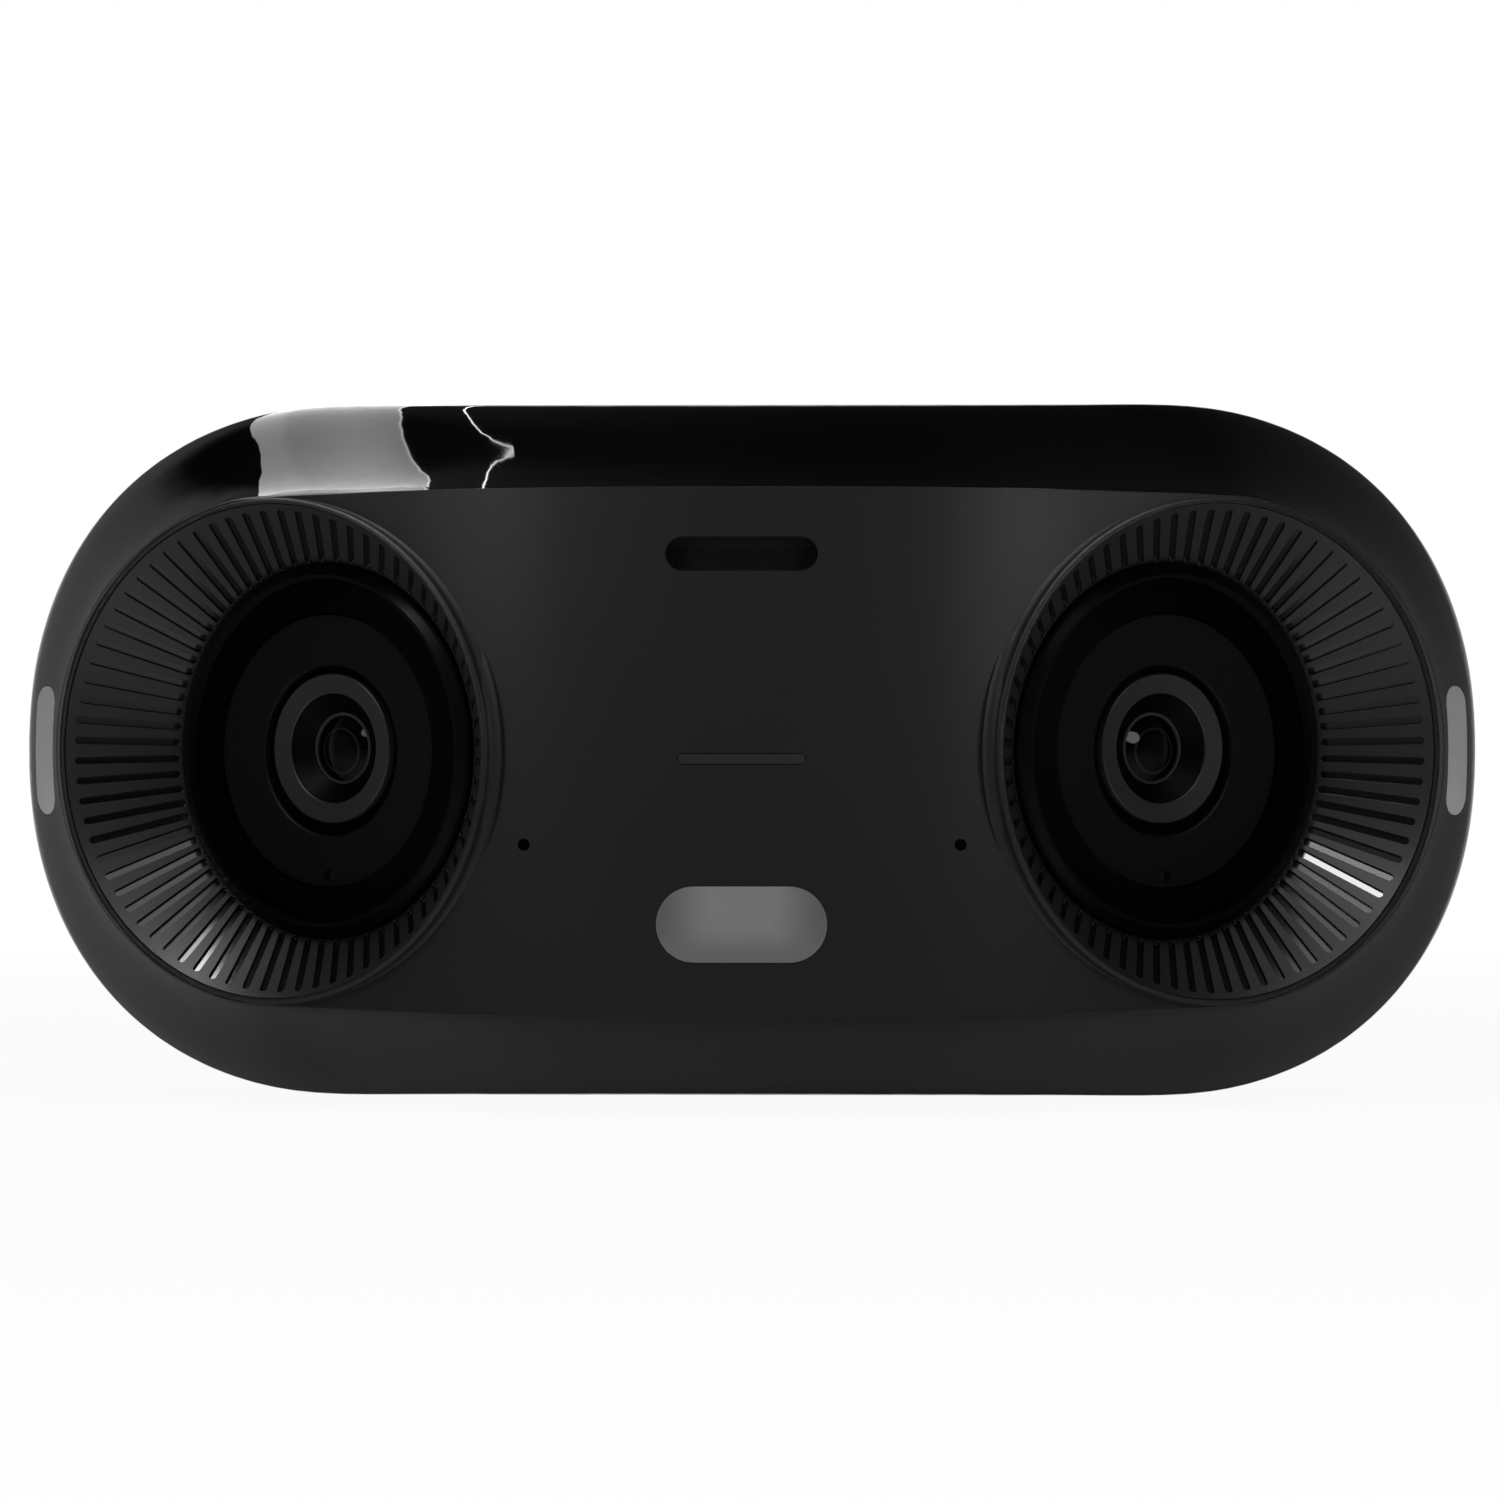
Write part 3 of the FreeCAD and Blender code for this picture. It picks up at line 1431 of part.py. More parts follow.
def build():
    """Write every piece to its own file."""
    os.makedirs("parts", exist_ok=True)
    body = flared_body(0.0, -side_band)
    cavity = flared_body(wall, -side_band - overrun)
    lining = flared_body(end_window_thickness, -side_band - overrun)
    pieces = {}
    pieces["front_panel"] = front_panel(body)
    pieces["main_shell"] = main_shell(body, cavity)
    pieces["rear_cover"] = rear_cover()
    pieces["seam_gasket"] = gasket()
    pairs = {"funnel": funnel(), "end_window": end_window(body, lining), "end_sensor": end_sensor()}
    for name, shape in eye_pieces().items():
        pairs[name] = placed(shape, eye_frame())
    for name, shape in pairs.items():
        pieces[name + "_right"] = shape
        pieces[name + "_left"] = mirrored(shape)
    pieces["light_pipes"] = Part.makeCompound(both_sides(placed(light_pipe(), eye_frame())))
    sensor_screws = placed(Part.makeCompound(small_screws()), eye_frame())
    pieces["sensor_screws"] = Part.makeCompound(both_sides(sensor_screws))
    pieces["front_window"] = window(sensor_window_z, sensor_window_width, sensor_window_height)
    pieces["status_light"] = window(status_z, status_width, status_height)
    pieces["sound_mesh"] = sound_mesh()
    pieces["main_board"] = main_board()
    pieces["board_screws"] = Part.makeCompound(board_screws())
    pieces["heat_spreader"] = heat_spreader()
    pieces["mid_frame"] = mid_frame()
    pieces["speaker"] = speaker()
    pieces["front_sensor"] = front_sensor()
    pieces["microphones"] = Part.makeCompound(microphones())
    pieces["battery_cells"] = Part.makeCompound(battery_cells())
    pieces["battery_holder"] = battery_holder()
    pieces["antennas"] = Part.makeCompound(antennas())
    pieces["thread_insert"] = thread_insert()
    pieces["case_screws"] = Part.makeCompound(case_screws())
    pieces["service_tray"] = service_tray()
    pieces["service_door"] = service_door()
    pieces["door_pin"] = door_pin()
    pieces["door_seal"] = door_seal()
    pieces["port_board"] = port_board()
    pieces["charging_socket"] = charging_socket()
    pieces["card_socket"] = card_socket()
    pieces["reset_button"] = reset_button()
    for name, shape in pieces.items():
        shape.exportStep("parts/" + name + ".step")
        print(name, shape.isValid(), len(shape.Solids), round(shape.Volume, 1))


build()
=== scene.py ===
import math

import bmesh
import bpy
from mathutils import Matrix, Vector


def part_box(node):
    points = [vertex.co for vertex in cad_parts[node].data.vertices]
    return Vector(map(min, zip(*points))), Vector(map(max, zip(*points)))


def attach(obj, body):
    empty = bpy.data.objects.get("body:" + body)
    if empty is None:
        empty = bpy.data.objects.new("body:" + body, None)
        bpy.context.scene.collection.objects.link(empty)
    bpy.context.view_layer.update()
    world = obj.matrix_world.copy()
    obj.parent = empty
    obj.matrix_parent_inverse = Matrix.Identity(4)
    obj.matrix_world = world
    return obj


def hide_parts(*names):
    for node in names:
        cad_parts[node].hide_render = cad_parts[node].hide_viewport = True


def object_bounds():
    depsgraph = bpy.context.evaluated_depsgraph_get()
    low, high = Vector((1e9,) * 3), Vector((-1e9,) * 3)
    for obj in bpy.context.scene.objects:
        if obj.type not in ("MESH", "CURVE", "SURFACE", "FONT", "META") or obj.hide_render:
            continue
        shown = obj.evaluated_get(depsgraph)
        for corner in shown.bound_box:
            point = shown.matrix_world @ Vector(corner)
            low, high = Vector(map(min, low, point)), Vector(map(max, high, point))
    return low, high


# Panoramic security camera: looks, stage and camera.
# Metres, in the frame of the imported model: +X right, +Y to the rear, +Z up.

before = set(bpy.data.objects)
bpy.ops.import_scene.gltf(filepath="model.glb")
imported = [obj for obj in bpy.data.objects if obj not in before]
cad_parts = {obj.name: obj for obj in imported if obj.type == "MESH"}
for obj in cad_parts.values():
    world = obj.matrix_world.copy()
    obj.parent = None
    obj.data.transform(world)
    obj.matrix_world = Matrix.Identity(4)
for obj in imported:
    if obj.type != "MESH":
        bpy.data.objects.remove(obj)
cad_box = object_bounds()

bl_info = {
    "name": "Panoramic Security Camera",
    "version": (1, 0, 0),
    "blender": (4, 5, 0),
    "location": "3D View > Sidebar > Camera",
    "description": "Dresses a panoramic security camera and sets its studio",
    "category": "Object",
}

MM = 0.001
BODY = "camera"


def mm(*values):
    """Vector from millimetres."""
    return Vector([value * MM for value in values])


# Shader expressions


class Flow:
    """A number's socket in an expression: each operator adds the node that works it out."""

    def __init__(self, finish, socket):
        self.finish = finish
        self.socket = socket

    def __add__(self, other):
        return self.finish.maths("ADD", self, other)

    def __radd__(self, other):
        return self.finish.maths("ADD", other, self)

    def __sub__(self, other):
        return self.finish.maths("SUBTRACT", self, other)

    def __rsub__(self, other):
        return self.finish.maths("SUBTRACT", other, self)

    def __mul__(self, other):
        return self.finish.maths("MULTIPLY", self, other)

    def __rmul__(self, other):
        return self.finish.maths("MULTIPLY", other, self)

    def __pow__(self, other):
        return self.finish.maths("POWER", self, other)

    def __rpow__(self, other):
        return self.finish.maths("POWER", other, self)

    def __abs__(self):
        return self.finish.maths("ABSOLUTE", self)

    def __gt__(self, other):
        return self.finish.maths("GREATER_THAN", self, other)

    def __lt__(self, other):
        return self.finish.maths("LESS_THAN", self, other)


class Finish:
    """One material or world under construction."""

    def __init__(self, name, owner=None):
        self.owner = owner or bpy.data.materials.new(name)
        self.owner.use_nodes = True
        self.tree = self.owner.node_tree
        self.shader = self.tree.nodes.get("Principled BSDF")

    def node(self, kind, settings=None, inputs=None, output=0):
        """Add a node: its settings first, then the values or links of its sockets."""
        made = self.tree.nodes.new(kind)
        for name, value in (settings or {}).items():
            setattr(made, name, value)
        for name, value in (inputs or {}).items():
            self.feed(made.inputs[name], value)
        return Flow(self, made.outputs[output])

    def feed(self, socket, value):
        """Link a flow to a socket, or set the socket's own value."""
        if isinstance(value, Flow):
            self.tree.links.new(value.socket, socket)
        else:
            socket.default_value = value

    def set(self, **values):
        """Set sockets of the surface shader; words are joined by underscores."""
        for name, value in values.items():
            self.feed(self.shader.inputs[name.replace("_", " ")], value)

    def show(self, surface):
        """Put another shader in place of the surface shader."""
        self.feed(self.tree.nodes["Material Output"].inputs["Surface"], surface)

    def path(self, kind):
        """1 on one kind of ray and 0 on the others."""
        return self.node("ShaderNodeLightPath", output=kind)

    def place(self):
        """Object coordinates in metres."""
        return self.node("ShaderNodeTexCoord", output="Object")

    def noise(self, scale, detail=2.0, roughness=0.5):
        """Noise between 0 and 1; scale is in cells per metre."""
        return self.node(
            "ShaderNodeTexNoise", {},
            {"Vector": self.place(), "Scale": scale, "Detail": detail, "Roughness": roughness},
            "Fac")

    def axes(self, vector=None):
        """The three parts of a vector, by default of the place."""
        split = self.node("ShaderNodeSeparateXYZ", {}, {"Vector": vector or self.place()})
        return [Flow(self, split.socket.node.outputs[axis]) for axis in "XYZ"]

    def maths(self, operation, first, second=0.0):
        return self.node("ShaderNodeMath", {"operation": operation}, {0: first, 1: second})

    def smooth(self, value, start, end):
        """0 at start, 1 at end, smooth between; start may be the larger one."""
        return self.node(
            "ShaderNodeMapRange", {"interpolation_type": "SMOOTHSTEP"},
            {"Value": value, "From Min": start, "From Max": end})

    def cells(self, scale):
        """Distance to the nearest of scattered points; scale is in cells per metre."""
        return self.node(
            "ShaderNodeTexVoronoi", {}, {"Vector": self.place(), "Scale": scale}, "Distance")

    def mix_colours(self, factor, first, second):
        return self.node(
            "ShaderNodeMix", {"data_type": "RGBA"}, {0: factor, 6: first, 7: second}, 2)

    def bump(self, height, distance):
        made = self.node(
            "ShaderNodeBump", {}, {"Height": height, "Distance": distance}, "Normal")
        self.feed(self.shader.inputs["Normal"], made)


def grey(value):
    return (value, value, value, 1.0)


def shades(base, share):
    """A colour made darker and lighter by a share, for mottling."""
    dark = tuple(channel * (1.0 - share) for channel in base[:3]) + (1.0,)
    light = tuple(min(1.0, channel * (1.0 + share)) for channel in base[:3]) + (1.0,)
    return dark, light


# Finishes

# A point on each eye's axis, to the side and in front of the rear face, and the axis's turn.
EYE_OFFSET = 0.0572
EYE_DEPTH = 0.041
EYE_YAW = math.radians(34.2)

# What shows behind the front glass: the ring of the next lens, and its edge and paler heart.
INNER_RING = 0.003
INNER_GLASS = 0.0026
INNER_HEART = 0.0018

# The panel's crease: its place, the width over which it is shaded round, and its change of slope.
KNEE = 0.0342
KNEE_WIDTH = 0.011
KNEE_TURN = 0.27

# Fine rings of turned pieces.
RING_PITCH = 0.00012
RING_DEPTH = 0.000002

# Distance from the middle at which the painted shade of the panel's sensor window is darkest.
WINDOW_SHADE_REACH = 0.0112

# What stands out further than this from a board's planes is a chip.
CHIP_RISE = 0.00005
SOLDER_MASK = (0.01, 0.09, 0.05, 1.0)
PAD_GOLD = (0.55, 0.42, 0.2, 1.0)


def grained(name, base, roughness, cell=0.00022, depth=0.000012, spec=0.5, knee=0.0):
    """Textured moulding: a spark grain, soft clouds in colour and gloss, and rare lighter specks,
    painted glints of sparkle.

    Where knee is given, the crease at that distance from the middle is shaded as a soft turn.
    """
    finish = Finish(name)
    cloud = finish.noise(35.0, 3.0)
    fine = finish.noise(1.0 / cell, 2.0, 0.65)
    coarse = finish.noise(0.35 / cell, 1.0)
    # Painted glints: rare lighter specks stand in for the grain's sparkle.
    sparkle_glint = finish.smooth(finish.cells(420.0), 0.09, 0.03)
    dark, light = shades(base, 0.06)
    colour = finish.mix_colours(cloud, dark, light)
    finish.set(
        Base_Color=finish.mix_colours(sparkle_glint * 0.5, colour, shades(base, 0.8)[1]),
        Roughness=roughness - 0.04 + cloud * 0.05 + fine * 0.04,
        Specular_IOR_Level=spec)
    grain = (fine * 0.7 + coarse * 0.3) * depth
    if knee:
        across = abs(finish.axes()[0])
        near = finish.maths("MAXIMUM", KNEE_WIDTH - abs(across - knee), 0.0)
        grain = grain - near * near * (KNEE_TURN / (4.0 * KNEE_WIDTH))
    finish.bump(grain, 1.0)
    return finish.owner


def polished(name, base, roughness, wave=0.0, dust=0.0):
    """Glossy moulding with faint smudges, dust and the slow waviness of a moulded surface."""
    finish = Finish(name)
    smudge = finish.noise(90.0, 4.0, 0.6)
    dark, light = shades(base, 0.1)
    colour = finish.mix_colours(smudge, dark, light)
    if dust:
        mote = finish.smooth(finish.cells(160.0), 0.035, 0.01)
        colour = finish.mix_colours(mote * dust, colour, grey(0.2))
    finish.set(Base_Color=colour, Roughness=roughness + smudge * 0.02)
    if wave:
        finish.bump(finish.noise(45.0, 1.0), wave)
    return finish.owner


def eye_radius(finish):
    """Distance from the axis of the nearer eye."""
    across, along, up = finish.axes()
    sideways = (
        (abs(across) - EYE_OFFSET) * math.cos(EYE_YAW) + (along + EYE_DEPTH) * math.sin(EYE_YAW))
    return (sideways * sideways + up * up) ** 0.5


def turned(name, base, roughness, spec=0.5):
    """Satin finish with fine rings about the eye's axis, as turning or spinning leaves."""
    finish = Finish(name)
    rings = finish.node(
        "ShaderNodeTexNoise", {"noise_dimensions": "1D"},
        {"W": eye_radius(finish), "Scale": 1.0 / RING_PITCH, "Detail": 2.0}, "Fac")
    cloud = finish.noise(120.0, 3.0)
    dark, light = shades(base, 0.08)
    finish.set(
        Base_Color=finish.mix_colours(cloud * 0.6 + rings * 0.4, dark, light),
        Roughness=roughness - 0.04 + rings * 0.08,
        Specular_IOR_Level=spec)
    finish.bump(rings, RING_DEPTH)
    return finish.owner


def metal(name, base, roughness, scale=1500.0):
    """Bare metal with fine drawing marks and tarnish clouds."""
    finish = Finish(name)
    marks = finish.noise(scale, 2.0)
    tarnish = finish.noise(160.0, 3.0)
    dark, light = shades(base, 0.1)
    finish.set(
        Base_Color=finish.mix_colours(marks * 0.5 + tarnish * 0.5, dark, light), Metallic=1.0,
        Roughness=roughness - 0.06 + marks * 0.08 + tarnish * 0.06)
    finish.bump(marks, 0.000003)
    return finish.owner


def clear(name, base, roughness, through, tint=None):
    """Glass or clear plastic with a little haze and a coat; a tint shows at grazing angles."""
    finish = Finish(name)
    haze = finish.noise(400.0, 2.0)
    dark, light = shades(base, 0.1)
    colour = finish.mix_colours(haze, dark, light)
    if tint:
        edge = finish.node("ShaderNodeLayerWeight", {}, {"Blend": 0.35}, "Facing")
        colour = finish.mix_colours(edge, colour, tint)
    finish.set(
        Base_Color=colour, Roughness=roughness + haze * 0.01, Transmission_Weight=through,
        IOR=1.5, Coat_Weight=0.3 + haze * 0.05)
    return finish.owner


def coated(name):
    """Dark front glass: the ring and the heart of the lens behind it, and fine dust."""
    finish = Finish(name)
    radius = eye_radius(finish)
    ring = finish.smooth(abs(radius - INNER_RING), 0.00022, 0.00008)
    heart = finish.smooth(radius, INNER_GLASS, INNER_HEART)
    mote = finish.smooth(finish.cells(900.0), 0.05, 0.02)
    colour = finish.mix_colours(
        heart, (0.0003, 0.0003, 0.0004, 1.0), (0.0012, 0.0012, 0.0014, 1.0))
    colour = finish.mix_colours(ring, colour, (0.006, 0.006, 0.005, 1.0))
    colour = finish.mix_colours(mote * 0.2, colour, grey(0.05))
    finish.set(Base_Color=colour, Roughness=0.05 + mote * 0.2, Specular_IOR_Level=0.15)
    return finish.owner


def lenslets(name, base, roughness, reach=0.0, middle=0.0):
    """Milky sensor window: faint lens cells behind a satin face.

    Where reach is given, painted shade darkens the window at its sides and below the height of its
    middle.
    """
    finish = Finish(name)
    cell = finish.cells(520.0)
    fine = finish.noise(6500.0, 2.0, 0.6)
    cloud = finish.noise(60.0, 2.0)
    dark, light = shades(base, 0.05)
    colour = finish.mix_colours(cloud * 0.5 + cell * 0.5, dark, light)
    # Painted shade: the window is made darker at its sides and below its middle.
    if reach:
        across, _, up = finish.axes()
        side = finish.smooth(abs(across), reach * 0.3, reach)
        foot_shade = finish.smooth(up, middle, middle - reach * 0.4)
        colour = finish.mix_colours(side, colour, shades(base, 0.5)[0])
        colour = finish.mix_colours(foot_shade, colour, shades(base, 0.35)[0])
    finish.set(Base_Color=colour, Roughness=roughness - 0.03 + fine * 0.06)
    finish.bump(fine * 0.6 + cell * 0.4, 0.000004)
    return finish.owner


def woven(name, base, pitch):
    """Fine woven mesh: rounded wires over openings painted near black as painted shade."""
    finish = Finish(name)
    across, _, up = finish.axes()
    turns = 2.0 * math.pi / pitch
    warp = finish.maths("SINE", across * turns)
    weft = finish.maths("SINE", up * turns)
    wires = finish.maths("MAXIMUM", warp, weft) * 0.5 + 0.5
    # Painted shade: the openings between the wires are painted near black.
    finish.set(
        Base_Color=finish.mix_colours(wires, grey(0.001), base), Roughness=0.75 - wires * 0.2,
        Specular_IOR_Level=0.15)
    finish.bump(wires, 0.00008)
    return finish.owner


def circuit(name, front, rear):
    """Solder mask with copper tracks and plated pads between two planes, front and rear.

    What stands outside the planes is a black chip.
    """
    finish = Finish(name)
    across, along, _ = finish.axes()
    track = finish.maths("PINGPONG", across * 900.0 + finish.noise(60.0, 0.0) * 3.0, 0.5)
    track = finish.smooth(track, 0.16, 0.12)
    island = finish.smooth(finish.noise(110.0, 1.0), 0.48, 0.52)
    pad = finish.smooth(finish.cells(330.0), 0.16, 0.12)
    dark, light = shades(SOLDER_MASK, 0.35)
    board = finish.mix_colours(track * island, dark, light)
    board = finish.mix_colours(pad, board, PAD_GOLD)
    chip = finish.maths("MAXIMUM", along < front - CHIP_RISE, along > rear + CHIP_RISE)
    grain = finish.noise(3000.0, 2.0)
    packages = finish.mix_colours(grain, grey(0.012), grey(0.02))
    finish.set(
        Base_Color=finish.mix_colours(chip, board, packages),
        Roughness=0.35 + chip * 0.2, Metallic=pad * (1.0 - chip) * 0.8)
    finish.bump(track * island, 0.00003)
    return finish.owner


def sleeve(name, base):
    """Shrink sleeve of a cell: smooth film with soft wrinkles."""
    finish = Finish(name)
    wrinkle = finish.noise(300.0, 3.0, 0.6)
    dark, light = shades(base, 0.15)
    finish.set(Base_Color=finish.mix_colours(wrinkle, dark, light), Roughness=0.3 + wrinkle * 0.12)
    finish.bump(wrinkle, 0.00008)
    return finish.owner


PAINTED = set()


def paint(material, *nodes):
    """Give carried-over nodes their material."""
    for node in nodes:
        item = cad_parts[node]
        item.data.materials.clear()
        item.data.materials.append(material)
        PAINTED.add(node)


def both(name):
    return [name + "_right", name + "_left"]


# Settings


def shade_property(name, description, value):
    return bpy.props.FloatVectorProperty(
        name=name, description=description, default=(value, value, value), subtype="COLOR",
        min=0.0, max=1.0)


def gloss_property(name, value):
    return bpy.props.FloatProperty(
        name=name, description="0 is a mirror, 1 is dull", default=value, subtype="FACTOR")


def fine_property(name, description, value):
    return bpy.props.FloatProperty(
        name=name, description=description, default=value, unit="LENGTH", precision=5)


class CameraLook(bpy.types.PropertyGroup):
    panel_colour: shade_property("Panel colour", "Matte front panel", 0.0025)
    shell_colour: shade_property("Shell colour", "Glossy flared shell", 0.0012)
    cover_colour: shade_property("Cover colour", "Textured rear cover and door", 0.011)
    funnel_colour: shade_property("Funnel colour", "Ribs of the slotted funnels", 0.0065)
    groove_colour: shade_property("Groove colour", "Glossy grooves of the slotted funnels", 0.003)
    groove_width: fine_property("Groove width", "Width of one radial groove", 0.001)
    window_colour: shade_property("Window colour", "Motion sensor window of the panel", 0.102)
    end_window_colour: shade_property(
        "End window colour", "Motion sensor windows of the ends", 0.24)
    panel_roughness: gloss_property("Panel roughness", 0.5)
    shell_roughness: gloss_property("Shell roughness", 0.03)
    funnel_roughness: gloss_property("Funnel roughness", 0.42)
    grain_cell: fine_property("Grain cell", "Size of one grain of the panel's texture", 0.00022)
    mesh_pitch: fine_property("Mesh pitch", "Distance of two wires of the sound mesh", 0.0004)
    camera_distance: bpy.props.FloatProperty(
        name="Camera distance", description="From the lens to the body's widest section",
        default=0.83, unit="LENGTH")
    camera_azimuth: bpy.props.FloatProperty(
        name="Camera azimuth", description="Turn of the viewpoint to the right",
        default=math.radians(1.45), subtype="ANGLE")
    camera_elevation: bpy.props.FloatProperty(
        name="Camera elevation", description="Rise of the viewpoint",
        default=math.radians(0.35), subtype="ANGLE")
    camera_lens: bpy.props.FloatProperty(
        name="Focal length", description="In millimetres, for a 36 mm wide frame", default=144.0)
    widest_section: bpy.props.FloatProperty(
        name="Widest section", description="Distance of the widest section from the rear face",
        default=0.02, unit="LENGTH")


# Pieces


class CAMERA_OT_casing(bpy.types.Operator):
    """Finish the front panel, the shell, the rear cover and the seam"""
    bl_idname = "camera_look.casing"
    bl_label = "Casing"

    def execute(self, context):
        look = context.scene.camera_look
        paint(
            grained(
                "matte_black_panel", look.panel_colour, look.panel_roughness, look.grain_cell,
                spec=0.38, knee=KNEE),
            "front_panel")
        paint(
            polished(
                "gloss_black_shell", look.shell_colour, look.shell_roughness, 0.000001, dust=0.1),
            "main_shell")
        paint(grained("matte_black_cover", look.cover_colour, 0.55, 0.0003, 0.00002), "rear_cover")
        paint(grained("seal_rubber", grey(0.01), 0.8, 0.0002, 0.000006), "seam_gasket")
        return {"FINISHED"}


# Slotted funnel, in millimetres. A place is the middle of a circle, to the side and front to
# rear, and the circle's yaw outwards in degrees. A drop is a depth below the circle's plane.
MOUTH_RADIUS = 33.1
MOUTH_PLACE = (63.8, -48.0, 27.0)
MOUTH_DROP = 0.14
OUTER_DROP = 3.0
FLOOR_RADIUS = 25.2
FLOOR_PLACE = (57.2, -41.0, 34.2)
FLOOR_DROP = 1.0
NECK_RADIUS = 27.0
NECK_TOP_DROP = 1.6
NECK_DROP = 6.0

# Slots: their number and depth, how much they lean, and the plain wall left above and below.
SLOTS = 72
SLOT_DEPTH = 0.45
SLOT_LEAN = math.radians(15.0)
LIP_LAND = 1.35
FLOOR_LAND = 0.8

# Mesh of one slot's sector: half its angle, the points of a slot's round end, the steps along
# the lip, and the shares of the wall's length at which the sector's edge leaves lip and floor.
HALF_SECTOR = math.pi / SLOTS
CAP_POINTS = 9
RIM_STEPS = CAP_POINTS - 5
LIP_SHARE = 0.13
FLOOR_SHARE = 0.09

# Distance within which points merge, the angle of a sharp edge, and the rounding of the edges.
MERGE_DISTANCE = 0.000004
SHARP_ANGLE = math.radians(35.0)
BEVEL_WIDTH = 0.00007
BEVEL_ANGLE = math.radians(50.0)


def ring_point(place, radius, angle, drop):
    """Point of a circle that faces outwards at the place's yaw, drop below its plane."""
    offset, along, yaw = place
    turn = math.radians(yaw)
    across = radius * math.cos(angle)
    return mm(
        offset + across * math.cos(turn) - drop * math.sin(turn),
        along + across * math.sin(turn) + drop * math.cos(turn),
        radius * math.sin(angle))


def floor_turn(angle):
    """Turn on the floor's circle of the line that starts at an angle of the mouth's circle.

    Above and below the eye the lines lean outwards, so that from the front they run to its middle.
    """
    return angle - SLOT_LEAN * math.sin(angle) * abs(math.sin(angle))


def wall_point(angle, share):
    """Point of the funnel's wall: share runs from 0 at the mouth to 1 at the floor."""
    lip = ring_point(MOUTH_PLACE, MOUTH_RADIUS, angle, MOUTH_DROP)
    floor = ring_point(FLOOR_PLACE, FLOOR_RADIUS, floor_turn(angle), FLOOR_DROP)
    return lip.lerp(floor, share)


def slot_border(angle):
    """Points on a sector's edge round one slot, in step with the slot's outline."""
    half = HALF_SECTOR
    cap = [0.0, 0.5] + [1.0] * (RIM_STEPS + 1) + [0.5, 0.0]
    turns = [-half, -half]
    turns += [half * (2.0 * index / RIM_STEPS - 1.0) for index in range(RIM_STEPS + 1)]
    turns += [half, half]
    points = [
        wall_point(angle + turn, LIP_SHARE * (1.0 - reach)) for turn, reach in zip(turns, cap)]
    points.append(wall_point(angle + half, 0.5))
    points += [
        wall_point(angle - turn, 1.0 - FLOOR_SHARE * (1.0 - reach))
        for turn, reach in zip(turns, cap)]
    points.append(wall_point(angle - half, 0.5))
    return points


def slot_outline(angle, width):
    """Pill outline of one slot on the wall, and the direction into the wall."""
    lip, floor = wall_point(angle, 0.0), wall_point(angle, 1.0)
    along = (lip - floor).normalized()
    tangent = (wall_point(angle + 0.01, 0.5) - wall_point(angle - 0.01, 0.5)).normalized()
    inward = along.cross(tangent).normalized()
    middle = ring_point(FLOOR_PLACE, 0.0, 0.0, FLOOR_DROP)
    if inward.dot(middle - lip) > 0.0:
        inward = -inward
    across = along.cross(inward).normalized()
    tangent = across if across.dot(tangent) > 0.0 else -across
    radius = width / 2
    low = floor + along * (FLOOR_LAND * MM + radius)
    high = lip - along * (LIP_LAND * MM + radius)
    points = []
    for centre, way in ((high, 1.0), (low, -1.0)):
        for index in range(CAP_POINTS):
            turn = math.pi * (index / (CAP_POINTS - 1) - 0.5)
            points.append(
                centre + (along * math.cos(turn) + tangent * math.sin(turn)) * (radius * way))
        points.append((high + low) / 2 + tangent * (radius * way))
    return points, inward


def funnel_piece(name, side, width, ribs, slots):
    """Slotted funnel wall with its lip, neck and outer skin; side is 1 right and -1 left."""
    made = bmesh.new()

    def add(points):
        return [made.verts.new((point.x * side, point.y, point.z)) for point in points]

    def bridge(first, second, material):
        count = len(first)
        for index in range(count):
            after = (index + 1) % count
            face = made.faces.new((first[index], first[after], second[after], second[index]))
            face.material_index = material
            face.smooth = True

    for index in range(SLOTS):
        angle = 2.0 * HALF_SECTOR * (index + 0.5)
        outline, inward = slot_outline(angle, width)
        border = add(slot_border(angle))
        edge = add(outline)
        foot_shade = add([point + inward * (SLOT_DEPTH * MM) for point in outline])
        bridge(border, edge, 0)
        bridge(edge, foot_shade, 1)
        made.faces.new(foot_shade).material_index = 1
    angles = [2.0 * HALF_SECTOR * index / RIM_STEPS for index in range(SLOTS * RIM_STEPS)]
    outer = (
        (MOUTH_PLACE, MOUTH_RADIUS, MOUTH_DROP), (MOUTH_PLACE, MOUTH_RADIUS, OUTER_DROP),
        (FLOOR_PLACE, NECK_RADIUS, NECK_TOP_DROP), (FLOOR_PLACE, NECK_RADIUS, NECK_DROP),
        (FLOOR_PLACE, FLOOR_RADIUS, NECK_DROP), (FLOOR_PLACE, FLOOR_RADIUS, FLOOR_DROP))
    rings = []
    for place, radius, drop in outer:
        turns = angles if place == MOUTH_PLACE else [floor_turn(angle) for angle in angles]
        rings.append(add([ring_point(place, radius, turn, drop) for turn in turns]))
    for first, second in zip(rings, rings[1:]):
        bridge(first, second, 0)
    bmesh.ops.remove_doubles(made, verts=made.verts, dist=MERGE_DISTANCE)
    bmesh.ops.recalc_face_normals(made, faces=made.faces)
    mesh = bpy.data.meshes.new(name)
    made.to_mesh(mesh)
    made.free()
    mesh.set_sharp_from_angle(angle=SHARP_ANGLE)
    mesh.materials.append(ribs)
    mesh.materials.append(slots)
    item = bpy.data.objects.new(name, mesh)
    bpy.context.collection.objects.link(item)
    edge = item.modifiers.new("soft_edges", "BEVEL")
    edge.width = BEVEL_WIDTH
    edge.segments = 2
    edge.limit_method = "ANGLE"
    edge.angle_limit = BEVEL_ANGLE
    edge.harden_normals = True
    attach(item, BODY)
    return item


